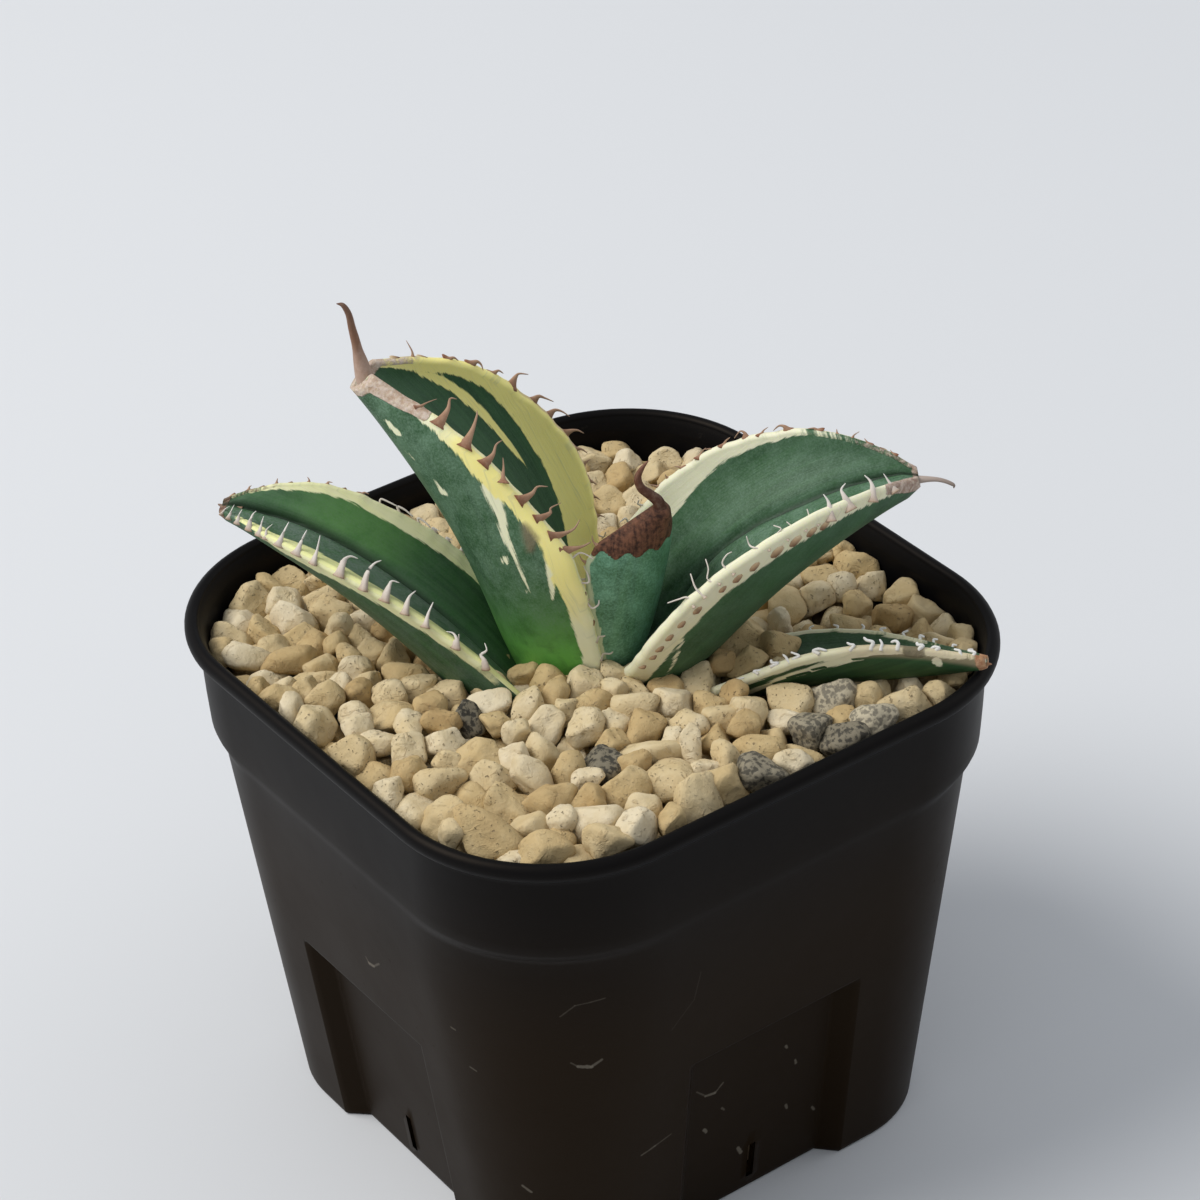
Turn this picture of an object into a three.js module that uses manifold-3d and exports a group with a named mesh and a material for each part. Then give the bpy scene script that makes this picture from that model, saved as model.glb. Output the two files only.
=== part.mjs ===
// A young variegated agave with five toothed leaves in a square black nursery pot. The pot is
// filled with potting mix and topped with pumice gravel. Millimetres, +Z up. The pot stands on
// z = 0 with its middle on the Z axis, and the corner between -X and -Y is the near one.

import * as THREE from "three";
import { mergeVertices } from "three/addons/utils/BufferGeometryUtils.js";
import Module from "manifold-3d";

const wasm = await Module();
wasm.setup();

// Driving dimensions of the pot

const POT_HEIGHT = 90;
const RIM_HALF = 52.5;
const RIM_CORNER = 27;
const BEAD_HEIGHT = 3;
const COLLAR_DEPTH = 18.7;
const COLLAR_HALF = 49.9;
const COLLAR_CORNER = 25.1;
const BODY_HALF = 49.6;
const BODY_CORNER = 27.9;
const FOOT_HALF = 41;
const FOOT_CORNER = 18.1;
const WALL = 1.2;
const FLOOR = 1.6;
const FLOOR_RISE = 2.6;
const CORNER_STEPS = 8;

const PANEL_HALF = 16.5;
const PANEL_TOP = 39.5;
const PANEL_DEPTH = 3;
const PANEL_SLANT = 2.8;
const SLIT_WIDTH = 1.4;
const SLIT_TOP = 10;
const DRAIN_SLOT_WIDTH = 3;
const DRAIN_SLOT_LENGTH = 16;
const PAD_CENTRE = 31;
const PAD_HALF = 5;

// The fill, the gravel and the clearance that separate solids keep

const CLEARANCE = 0.3;
const GRAVEL_BOTTOM = POT_HEIGHT - 12.5;
const GAP_LEVEL = POT_HEIGHT - 8.2;
const STONE_LOW = 2.6;
const STONE_HIGH = 5.2;
const STONE_SPACING = 8;
const STONE_SEED = 4892;

// Each leaf is a folded blade that is swept along a curve. The angles are in degrees: heading
// is the compass direction from +X, pitch is the climb, roll turns the blade about its length
// and cup is half of the arc that its cross-section bends through. The lists run from the
// base, which is just under the gravel, to the tip. The spine's points are steps from the tip.

const LEAF_BASE = POT_HEIGHT - 10;
const FOOT_DEPTH = 11;
const FOOT_SCALE = 0.5;

const LEAVES = [
  {
    name: "leaf_centre",
    root: [0.5, -4.5],
    base: [0.4, -5.5],
    length: 37,
    heading: [-62, -70, -72],
    pitch: [66, 75, 78, 76],
    roll: [6, -1, -3],
    halfWidth: [3, 5, 6.8, 8.2, 7.4, 0.9],
    cup: [28, 45, 60, 68],
    thick: [1.6, 1.6, 1.4, 1.2],
    lip: [0.65, 0.6, 0.5],
    keel: [0.5, 0.4, 0.2],
    teeth: { count: 6, size: 1.6, from: 0.3, to: 0.9 },
    spine: { radius: 1.5, steps: [[-1.2, 0.9, 1.2], [-2.7, 1.9, 3.2], [-2.4, 1.7, 5.4], [-1.5, 1.1, 7.8]] },
    colour: "#3f6553",
  },
  {
    name: "leaf_left_tall",
    root: [-3.5, 2],
    base: [-3.5, 5.3],
    length: 59,
    heading: [138, 142, 145],
    pitch: [76, 70, 57, 49],
    roll: [5, 1, -1],
    halfWidth: [11.5, 13.5, 15, 12.7, 9, 2.1],
    cup: [70, 74, 74, 74],
    thick: [3.8, 3.7, 2.9, 1.3],
    lip: [1.2, 1.1, 1],
    keel: [2.2, 1.9, 1.1],
    teeth: { count: 12, size: 3.4, from: 0.16, to: 0.93 },
    spine: { radius: 2.1, steps: [[-1.4, 1, 4.6], [-1.8, 1.3, 8.6], [-2.4, 1.7, 11.6], [-3.6, 2.5, 13.2]] },
    colour: "#3f6a52",
  },
  {
    name: "leaf_right_tall",
    root: [-2.5, 1.2],
    base: [2.5, -2.6],
    length: 59,
    heading: [-36, -38, -37],
    pitch: [37, 48, 34, 11],
    roll: [20, 14, 13],
    halfWidth: [5.5, 11.5, 13.2, 12.5, 8.5, 1],
    cup: [70, 73, 71, 73],
    thick: [3.2, 3.6, 3.1, 1.6],
    lip: [1.1, 0.9, 0.6],
    keel: [2.4, 1.7, 0.7],
    teeth: { count: 11, size: 2.2, from: 0.18, to: 0.93 },
    spine: { radius: 1.2, steps: [[1.6, -1.1, 0.1], [3.2, -2.2, 0], [4.6, -3.2, -0.9]] },
    colour: "#43694f",
  },
  {
    name: "leaf_left_low",
    root: [-6, 1],
    base: [-14, 2.5],
    length: 54,
    heading: [130, 128, 128],
    pitch: [55, 42, 26, 5],
    roll: [15, 1, -17],
    halfWidth: [11, 11, 10.3, 8.7, 5.8, 0.8],
    cup: [51, 50, 48, 45],
    thick: [3.4, 3.4, 2.6, 1.2],
    lip: [0.95, 0.75, 0.5],
    keel: [2.4, 2.2, 1.4],
    teeth: { count: 13, size: 3, from: 0.14, to: 0.95 },
    spine: { radius: 0.8, steps: [[-0.5, 0.4, 0.1], [-1.1, 0.8, 0.3]] },
    colour: "#3c6446",
  },
  {
    name: "leaf_right_low",
    root: [4, -6],
    base: [9.3, -15.8],
    length: 45.5,
    heading: [-45, -51, -52],
    pitch: [19, 16, 12, 16],
    roll: [-10, -20, -28],
    halfWidth: [8.8, 8.9, 8.7, 7, 4.1, 0.8],
    cup: [34, 48, 61, 68],
    thick: [1.2, 1.2, 1.1, 0.8],
    lip: [0.9, 0.7, 0.5],
    keel: [0.6, 0.4, 0.2],
    teeth: { count: 9, size: 1.3, from: 0.2, to: 0.93 },
    spine: { radius: 0.8, steps: [[0.5, -0.3, 0.1], [0.9, -0.6, 0.1]] },
    colour: "#3b6350",
  },
];

const LEAF_STATIONS = 12;
const ROOT_STATIONS = 3;
const FACE_POINTS = 7;
const CAP_POINTS = 1;

// The short stem and its main roots

const STEM_CENTRE = new THREE.Vector2(0, -1.5);
const STEM_PROFILE = [[0, 60], [3, 61], [5.6, 65], [6.4, 70], [5.6, 74.5], [3, 77], [0, 77.6]];
const ROOT_COUNT = 4;
const ROOT_TOP_RADIUS = 1.6;
const ROOT_END_RADIUS = 0.6;

const radians = THREE.MathUtils.degToRad;
const lerp = THREE.MathUtils.lerp;

function seededRandom(seed) {
  let state = seed >>> 0;
  return () => {
    state = (state + 0x6d2b79f5) >>> 0;
    let t = state;
    t = Math.imul(t ^ (t >>> 15), t | 1);
    t ^= t + Math.imul(t ^ (t >>> 7), t | 61);
    return ((t ^ (t >>> 14)) >>> 0) / 4294967296;
  };
}

// A smooth curve through evenly spaced values

function alongCurve(values, t) {
  const last = values.length - 1;
  if (last === 0) {
    return values[0];
  }
  const x = THREE.MathUtils.clamp(t, 0, 1) * last;
  const i = Math.min(Math.floor(x), last - 1);
  const f = x - i;
  const p0 = i > 0 ? values[i - 1] : 2 * values[0] - values[1];
  const p1 = values[i];
  const p2 = values[i + 1];
  const p3 = i + 2 <= last ? values[i + 2] : 2 * values[last] - values[last - 1];
  return (
    0.5 *
    (2 * p1 + (p2 - p0) * f + (2 * p0 - 5 * p1 + 4 * p2 - p3) * f * f + (3 * p1 - p0 - 3 * p2 + p3) * f * f * f)
  );
}

// Solids: closed meshes go in, boolean results come out

function outwardGeometry(points, triangles) {
  let volume = 0;
  for (const [a, b, c] of triangles) {
    volume += points[a].dot(new THREE.Vector3().crossVectors(points[b], points[c]));
  }
  const index = [];
  for (const [a, b, c] of triangles) {
    index.push(a, volume > 0 ? b : c, volume > 0 ? c : b);
  }
  const geometry = new THREE.BufferGeometry();
  geometry.setAttribute("position", new THREE.Float32BufferAttribute(points.flatMap((p) => p.toArray()), 3));
  geometry.setIndex(index);
  return geometry;
}

function toSolid(geometry) {
  const bare = geometry.clone();
  bare.deleteAttribute("normal");
  bare.deleteAttribute("uv");
  const merged = mergeVertices(bare, 1e-4);
  return new wasm.Manifold(
    new wasm.Mesh({
      numProp: 3,
      vertProperties: new Float32Array(merged.attributes.position.array),
      triVerts: new Uint32Array(merged.index.array),
    }),
  );
}

function toGeometry(solid) {
  const mesh = solid.getMesh();
  const geometry = new THREE.BufferGeometry();
  geometry.setAttribute("position", new THREE.Float32BufferAttribute(mesh.vertProperties, 3));
  geometry.setIndex(new THREE.Uint32BufferAttribute(mesh.triVerts, 1));
  geometry.computeVertexNormals();
  return geometry;
}

function largestBody(solid) {
  const bodies = solid.decompose();
  bodies.sort((a, b) => b.volume() - a.volume());
  return bodies[0];
}

function joinAll(solids) {
  let row = solids;
  while (row.length > 1) {
    const next = [];
    for (let i = 0; i < row.length; i += 2) {
      next.push(i + 1 < row.length ? row[i].add(row[i + 1]) : row[i]);
    }
    row = next;
  }
  return row[0];
}

// Triangles that fill a flat outline, wound the same way round as the outline

function fillOutline(outline) {
  const sign = Math.sign(THREE.ShapeUtils.area(outline));
  return THREE.ShapeUtils.triangulateShape(outline, []).map(([a, b, c]) => {
    const area = THREE.ShapeUtils.area([outline[a], outline[b], outline[c]]);
    return Math.sign(area) === sign ? [a, b, c] : [a, c, b];
  });
}

// A skin over equal rings, closed at both ends with the given flat outlines

function loft(rings, startOutline, endOutline) {
  const count = rings[0].length;
  const points = rings.flat();
  const triangles = [];
  for (let r = 0; r + 1 < rings.length; r += 1) {
    for (let i = 0; i < count; i += 1) {
      const j = (i + 1) % count;
      const a = r * count + i;
      const b = r * count + j;
      triangles.push([a, b, b + count], [a, b + count, a + count]);
    }
  }
  const top = (rings.length - 1) * count;
  for (const [a, b, c] of fillOutline(startOutline)) {
    triangles.push([a, c, b]);
  }
  for (const [a, b, c] of fillOutline(endOutline)) {
    triangles.push([top + a, top + b, top + c]);
  }
  return outwardGeometry(points, triangles);
}

// Pot

function roundedSquare(half, corner, z) {
  const ring = [];
  for (let quarter = 0; quarter < 4; quarter += 1) {
    const middle = radians(45 + 90 * quarter);
    const cx = (half - corner) * Math.sign(Math.cos(middle));
    const cy = (half - corner) * Math.sign(Math.sin(middle));
    for (let step = 0; step <= CORNER_STEPS; step += 1) {
      const angle = radians(90 * quarter + (90 * step) / CORNER_STEPS);
      ring.push(new THREE.Vector3(cx + corner * Math.cos(angle), cy + corner * Math.sin(angle), z));
    }
  }
  return ring;
}

function squareLoft(levels) {
  const rings = levels.map(([z, half, corner]) => roundedSquare(half, corner, z));
  const outlineOf = (ring) => ring.map((p) => new THREE.Vector2(p.x, p.y));
  return toSolid(loft(rings, outlineOf(rings[0]), outlineOf(rings[rings.length - 1])));
}

const COLLAR_BOTTOM = POT_HEIGHT - COLLAR_DEPTH;
const BODY_TOP = COLLAR_BOTTOM - 1.2;
const BEAD_BOTTOM = POT_HEIGHT - BEAD_HEIGHT;

function bodyAt(z) {
  const t = z / BODY_TOP;
  return [lerp(FOOT_HALF, BODY_HALF, t), lerp(FOOT_CORNER, BODY_CORNER, t)];
}

function innerLevel(z, half, corner) {
  return [z, half - WALL, corner - WALL];
}

const outerLevels = [
  [0, FOOT_HALF, FOOT_CORNER],
  [BODY_TOP, BODY_HALF, BODY_CORNER],
  [COLLAR_BOTTOM, COLLAR_HALF, COLLAR_CORNER],
  [BEAD_BOTTOM, COLLAR_HALF + 0.8, COLLAR_CORNER + 0.4],
  [BEAD_BOTTOM + 0.4, RIM_HALF - 0.4, RIM_CORNER - 0.4],
  [BEAD_BOTTOM + 1.1, RIM_HALF, RIM_CORNER],
  [POT_HEIGHT - 0.8, RIM_HALF, RIM_CORNER],
  [POT_HEIGHT, RIM_HALF - 0.8, RIM_CORNER - 0.8],
];

const FLOOR_TOP = FLOOR_RISE + FLOOR;
const innerLevels = [
  innerLevel(FLOOR_TOP, ...bodyAt(FLOOR_TOP)),
  innerLevel(BODY_TOP, BODY_HALF, BODY_CORNER),
  innerLevel(COLLAR_BOTTOM, COLLAR_HALF, COLLAR_CORNER),
  innerLevel(POT_HEIGHT - 1, COLLAR_HALF + 0.95, COLLAR_CORNER + 0.5),
  innerLevel(POT_HEIGHT + 1, COLLAR_HALF + 1.6, COLLAR_CORNER + 0.9),
];

// The recessed panel of one face: a block with a slanted top and slanted sides, which follows
// the lean of the wall. Grown by the wall's thickness it also shapes the inside of the pot.

function panelCutter(turn, grow) {
  const outline = (z, top) => {
    const face = bodyAt(z)[0];
    const inner = face - PANEL_DEPTH - grow;
    const deep = PANEL_HALF + grow * 0.4;
    const wide = deep + PANEL_SLANT * 3;
    const far = face + PANEL_DEPTH * 2 - grow;
    const push = top ? PANEL_DEPTH : 0;
    return [
      new THREE.Vector3(-deep + PANEL_SLANT, -inner - push, z),
      new THREE.Vector3(deep - PANEL_SLANT, -inner - push, z),
      new THREE.Vector3(wide - PANEL_SLANT, -far - push, z),
      new THREE.Vector3(-wide + PANEL_SLANT, -far - push, z),
    ];
  };
  const ledge = PANEL_TOP - PANEL_SLANT + grow;
  const rings = [outline(-3, false), outline(ledge, false), outline(ledge + PANEL_SLANT, true)];
  const flat = rings[0].map((p) => new THREE.Vector2(p.x, p.y));
  const geometry = loft(rings, flat, flat);
  geometry.rotateZ(radians(turn));
  return toSolid(geometry);
}

function box(width, depth, height, x, y, z, turn = 0) {
  const geometry = new THREE.BoxGeometry(width, depth, height);
  geometry.translate(x, y, z);
  geometry.rotateZ(radians(turn));
  return toSolid(geometry);
}

const TURNS = [0, 90, 180, 270];
const outerBody = TURNS.reduce((solid, turn) => solid.subtract(panelCutter(turn, 0)), squareLoft(outerLevels));
const innerBody = TURNS.reduce((solid, turn) => solid.subtract(panelCutter(turn, WALL)), squareLoft(innerLevels));

function buildPot() {
  let pot = outerBody.subtract(innerBody);

  // The underside is raised inside a skirt, with a square pad under each corner
  const underside = TURNS.reduce(
    (solid, turn) => solid.subtract(panelCutter(turn, WALL)),
    squareLoft([
      [-1, FOOT_HALF - WALL, FOOT_CORNER - WALL],
      [FLOOR_RISE, FOOT_HALF - WALL, FOOT_CORNER - WALL],
    ]),
  );
  const pads = TURNS.map((turn) =>
    box(2 * PAD_HALF, 2 * PAD_HALF, 2 * FLOOR_RISE + 4, PAD_CENTRE - 2, PAD_CENTRE - 2, 0, turn),
  );
  pot = pot.subtract(pads.reduce((solid, pad) => solid.subtract(pad), underside));

  // Drain slots in the floor and a narrow slit up the middle of each panel
  for (const turn of TURNS) {
    const slot = box(DRAIN_SLOT_WIDTH, DRAIN_SLOT_LENGTH, 4 * FLOOR_TOP, 0, -20, 0, turn);
    const slit = box(SLIT_WIDTH, 8, SLIT_TOP - FLOOR_RISE, 0, -FOOT_HALF + 3, (SLIT_TOP + FLOOR_RISE) / 2, turn);
    pot = pot.subtract(slot).subtract(slit);
  }
  return largestBody(pot);
}

// Leaves

function leafFrames(leaf, stations, rootStations) {
  const fineSteps = 200;
  const direction = (t) => {
    const heading = radians(alongCurve(leaf.heading, t));
    const pitch = radians(alongCurve(leaf.pitch, t));
    return new THREE.Vector3(
      Math.cos(pitch) * Math.cos(heading),
      Math.cos(pitch) * Math.sin(heading),
      Math.sin(pitch),
    );
  };
  const path = [new THREE.Vector3(leaf.base[0], leaf.base[1], LEAF_BASE)];
  for (let i = 0; i < fineSteps; i += 1) {
    const step = direction((i + 0.5) / fineSteps).multiplyScalar(leaf.length / fineSteps);
    path.push(path[i].clone().add(step));
  }
  const bladeFrame = (position, tangent, t) => {
    const level = new THREE.Vector3(-tangent.y, tangent.x, 0).normalize();
    const up = new THREE.Vector3().crossVectors(tangent, level);
    const roll = radians(alongCurve(leaf.roll, t));
    const side = level.clone().multiplyScalar(Math.cos(roll)).addScaledVector(up, Math.sin(roll));
    const normal = new THREE.Vector3().crossVectors(tangent, side);
    return { position, tangent, side, normal, t, scale: 1 };
  };
  const blade = [];
  for (let i = 0; i <= stations; i += 1) {
    const t = i / stations;
    blade.push(bladeFrame(path[Math.round(t * fineSteps)], direction(t), t));
  }

  // The buried foot runs from the stem to the base of the blade and keeps the blade's facing
  const start = new THREE.Vector3(leaf.root[0], leaf.root[1], LEAF_BASE - FOOT_DEPTH);
  const reach = start.distanceTo(path[0]);
  const leave = new THREE.Vector3(path[0].x - start.x, path[0].y - start.y, reach).normalize();
  const curve = new THREE.CubicBezierCurve3(
    start,
    start.clone().addScaledVector(leave, reach * 0.45),
    path[0].clone().addScaledVector(blade[0].tangent, -reach * 0.45),
    path[0],
  );
  const foot = [];
  for (let i = 0; i < rootStations; i += 1) {
    const u = i / rootStations;
    const tangent = curve.getTangent(u);
    const side = blade[0].side.clone().addScaledVector(tangent, -blade[0].side.dot(tangent)).normalize();
    const normal = new THREE.Vector3().crossVectors(tangent, side);
    foot.push({ position: curve.getPoint(u), tangent, side, normal, t: 0, scale: lerp(FOOT_SCALE, 1, u) });
  }
  return [...foot, ...blade];
}

// The cross-section is a crescent with rounded lips. Its points go over the inner face from
// the left lip to the right one and come back under the keel.

function leafOutline(leaf, frame, grow) {
  const cup = radians(alongCurve(leaf.cup, frame.t));
  const radius = (alongCurve(leaf.halfWidth, frame.t) * frame.scale) / Math.sin(cup);
  const fitted = (value) => Math.min(Math.min(value, 0.7 * radius) + grow, 0.9 * radius);
  const middle = fitted(alongCurve(leaf.thick, frame.t) * lerp(0.7, 1, frame.scale));
  const lip = fitted(alongCurve(leaf.lip, frame.t));
  const keel = Math.max(alongCurve(leaf.keel, frame.t), 0) * frame.scale;
  const inner = [];
  const outer = [];
  for (let i = 0; i < FACE_POINTS; i += 1) {
    const u = 1 - (2 * i) / (FACE_POINTS - 1);
    const angle = cup * u;
    const half = lip + (middle - lip) * (1 - Math.abs(u) ** 2.2);
    const back = half + keel * (1 - Math.abs(u)) ** 1.6;
    const centre = new THREE.Vector2(radius * Math.sin(angle), radius * (1 - Math.cos(angle)));
    const across = new THREE.Vector2(-Math.sin(angle), Math.cos(angle));
    inner.push(centre.clone().addScaledVector(across, half));
    outer.push(centre.clone().addScaledVector(across, -back));
  }
  const lipCap = (side) => {
    const angle = cup * side;
    const centre = new THREE.Vector2(radius * Math.sin(angle), radius * (1 - Math.cos(angle)));
    const across = new THREE.Vector2(-Math.sin(angle), Math.cos(angle));
    const along = new THREE.Vector2(Math.cos(angle), Math.sin(angle)).multiplyScalar(side);
    const cap = [];
    for (let i = 1; i <= CAP_POINTS; i += 1) {
      const a = (Math.PI * i) / (CAP_POINTS + 1);
      cap.push(
        centre.clone().addScaledVector(across, lip * Math.cos(a)).addScaledVector(along, lip * Math.sin(a)),
      );
    }
    return cap;
  };
  return [...inner, ...lipCap(-1), ...outer.reverse(), ...lipCap(1).reverse()];
}

function placeOutline(outline, frame) {
  return outline.map((p) =>
    frame.position.clone().addScaledVector(frame.side, p.x).addScaledVector(frame.normal, p.y),
  );
}

function leafBlade(leaf, frames, grow) {
  const outlines = frames.map((frame) => leafOutline(leaf, frame, grow));
  const rings = outlines.map((outline, i) => placeOutline(outline, frames[i]));
  rings[0].forEach((p) => p.addScaledVector(frames[0].tangent, -grow));
  return toSolid(loft(rings, outlines[0], outlines[outlines.length - 1]));
}

// A tapering horn through a row of centres, with oval sections

function horn(centres, sideDirection, radiusAcross, radiusAlong, sides) {
  const rings = centres.slice(0, -1).map((centre, i) => {
    const next = centres[i + 1];
    const previous = centres[Math.max(i - 1, 0)];
    const tangent = next.clone().sub(previous).normalize();
    const across = sideDirection.clone().addScaledVector(tangent, -sideDirection.dot(tangent)).normalize();
    const along = new THREE.Vector3().crossVectors(tangent, across);
    const taper = 1 - i / (centres.length - 1);
    return Array.from({ length: sides }, (_, k) => {
      const a = (2 * Math.PI * k) / sides;
      return centre
        .clone()
        .addScaledVector(across, radiusAcross * taper * Math.cos(a))
        .addScaledVector(along, radiusAlong * taper * Math.sin(a));
    });
  });
  const points = rings.flat();
  const apex = points.push(centres[centres.length - 1]) - 1;
  const triangles = [];
  for (let r = 0; r + 1 < rings.length; r += 1) {
    for (let i = 0; i < sides; i += 1) {
      const a = r * sides + i;
      const b = r * sides + ((i + 1) % sides);
      triangles.push([a, b, b + sides], [a, b + sides, a + sides]);
    }
  }
  const top = (rings.length - 1) * sides;
  for (let i = 0; i < sides; i += 1) {
    triangles.push([top + i, top + ((i + 1) % sides), apex]);
  }
  for (let i = 1; i + 1 < sides; i += 1) {
    triangles.push([0, i + 1, i]);
  }
  return toSolid(outwardGeometry(points, triangles));
}

function terminalSpine(leaf, frames, grow) {
  const tip = frames[frames.length - 1];
  const sink = tip.position.clone().addScaledVector(tip.tangent, -1.5 * leaf.spine.radius);
  const centres = [sink, ...leaf.spine.steps.map((step) => tip.position.clone().add(new THREE.Vector3(...step)))];
  return horn(centres, tip.side, leaf.spine.radius + grow, leaf.spine.radius * 0.8 + grow, 7);
}

function marginTeeth(leaf, frames, side, grow, random) {
  const blade = frames.filter((frame) => frame.scale === 1);
  const teeth = [];
  for (let i = 0; i < leaf.teeth.count; i += 1) {
    const jitter = (random() - 0.5) * 0.35;
    const t = lerp(leaf.teeth.from, leaf.teeth.to, (i + 0.5 + jitter) / leaf.teeth.count);
    const at = t * (blade.length - 1);
    const low = blade[Math.floor(at)];
    const high = blade[Math.min(Math.floor(at) + 1, blade.length - 1)];
    const mix = at - Math.floor(at);
    const cup = radians(alongCurve(leaf.cup, t));
    const radius = alongCurve(leaf.halfWidth, t) / Math.sin(cup);
    const lip = alongCurve(leaf.lip, t);
    const apex = (frame) =>
      frame.position
        .clone()
        .addScaledVector(frame.side, side * radius * Math.sin(cup))
        .addScaledVector(frame.normal, radius * (1 - Math.cos(cup)));
    const root = apex(low).lerp(apex(high), mix);
    const tangent = apex(high).sub(apex(low)).normalize();
    const out = low.side.clone().multiplyScalar(side * Math.cos(cup)).addScaledVector(low.normal, Math.sin(cup));
    out.addScaledVector(tangent, -out.dot(tangent)).normalize();
    const size = leaf.teeth.size * (0.8 + 0.4 * random()) * (0.75 + 0.5 * Math.sin(Math.PI * t));
    const hook = (random() - 0.35) * 0.7 * size;
    const bend = tangent.clone().multiplyScalar(hook);
    const centres = [
      root,
      root.clone().addScaledVector(out, lip + size * 0.5).addScaledVector(bend, 0.15),
      root.clone().addScaledVector(out, lip + size + grow).add(bend),
    ];
    const across = new THREE.Vector3().crossVectors(tangent, out);
    teeth.push(horn(centres, across, Math.min(0.8 * lip, 0.6) + 2 * grow, 0.36 * size + 0.4 + 2 * grow, 3));
  }
  return teeth;
}

function buildLeaf(leaf, grow) {
  const frames = leafFrames(leaf, LEAF_STATIONS, ROOT_STATIONS);
  const random = seededRandom(leaf.name.length * 101 + leaf.length);
  return joinAll([
    leafBlade(leaf, frames, grow),
    terminalSpine(leaf, frames, grow),
    ...marginTeeth(leaf, frames, 1, grow, random),
    ...marginTeeth(leaf, frames, -1, grow, random),
  ]);
}

// Stem and roots

function buildStem(grow) {
  const profile = STEM_PROFILE.map(([r, z]) => new THREE.Vector2(r > 0 ? r + grow : 0, z + (z > 70 ? grow : -grow)));
  const stem = new THREE.LatheGeometry(profile, 14);
  stem.rotateX(Math.PI / 2);
  stem.translate(STEM_CENTRE.x, STEM_CENTRE.y, 0);
  const solids = [toSolid(stem)];
  for (let i = 0; i < ROOT_COUNT; i += 1) {
    const angle = (2 * Math.PI * (i + 0.3)) / ROOT_COUNT;
    const outward = new THREE.Vector3(Math.cos(angle), Math.sin(angle), 0);
    const centres = [0, 1, 2, 3, 4].map((k) => {
      const u = k / 4;
      const spread = 1.5 + 22 * u ** 0.7;
      const sway = Math.sin(3 * u + i) * 2.5 * u;
      return new THREE.Vector3(
        STEM_CENTRE.x + outward.x * spread - outward.y * sway,
        STEM_CENTRE.y + outward.y * spread + outward.x * sway,
        66 - 40 * u ** 1.3,
      );
    });
    solids.push(rootTube(centres, grow));
  }
  return joinAll(solids);
}

function rootTube(centres, grow) {
  const sides = 5;
  const rings = centres.map((centre, i) => {
    const radius = lerp(ROOT_TOP_RADIUS, ROOT_END_RADIUS, i / (centres.length - 1)) + grow;
    const next = centres[Math.min(i + 1, centres.length - 1)];
    const tangent = next.clone().sub(centres[Math.max(i - 1, 0)]).normalize();
    const across = new THREE.Vector3(-tangent.y, tangent.x, 0).normalize();
    const along = new THREE.Vector3().crossVectors(tangent, across);
    return Array.from({ length: sides }, (_, k) => {
      const a = (2 * Math.PI * k) / sides;
      return centre
        .clone()
        .addScaledVector(across, radius * Math.cos(a))
        .addScaledVector(along, radius * Math.sin(a))
        .addScaledVector(tangent, i === centres.length - 1 ? grow : 0);
    });
  });
  const outline = Array.from({ length: sides }, (_, k) => {
    const a = (2 * Math.PI * k) / sides;
    return new THREE.Vector2(Math.cos(a), Math.sin(a));
  });
  return toSolid(loft(rings, outline, outline));
}

// Fill and gravel

function insideOfPot(bottom, top, gap) {
  const shrunk = innerLevels.map(([z, half, corner]) => [z, half - gap, corner - gap]);
  const slab = box(200, 200, top - bottom, 0, 0, (top + bottom) / 2);
  return TURNS.reduce((solid, turn) => solid.subtract(panelCutter(turn, WALL + gap)), squareLoft(shrunk)).intersect(
    slab,
  );
}

// The gravel's surface: pebbles stand on a jittered triangular lattice. The middle of each
// triangle is a low gap point, and each pebble is a raised six-sided top that slopes down to
// the six gap points around it, which it shares with its neighbours.

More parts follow.
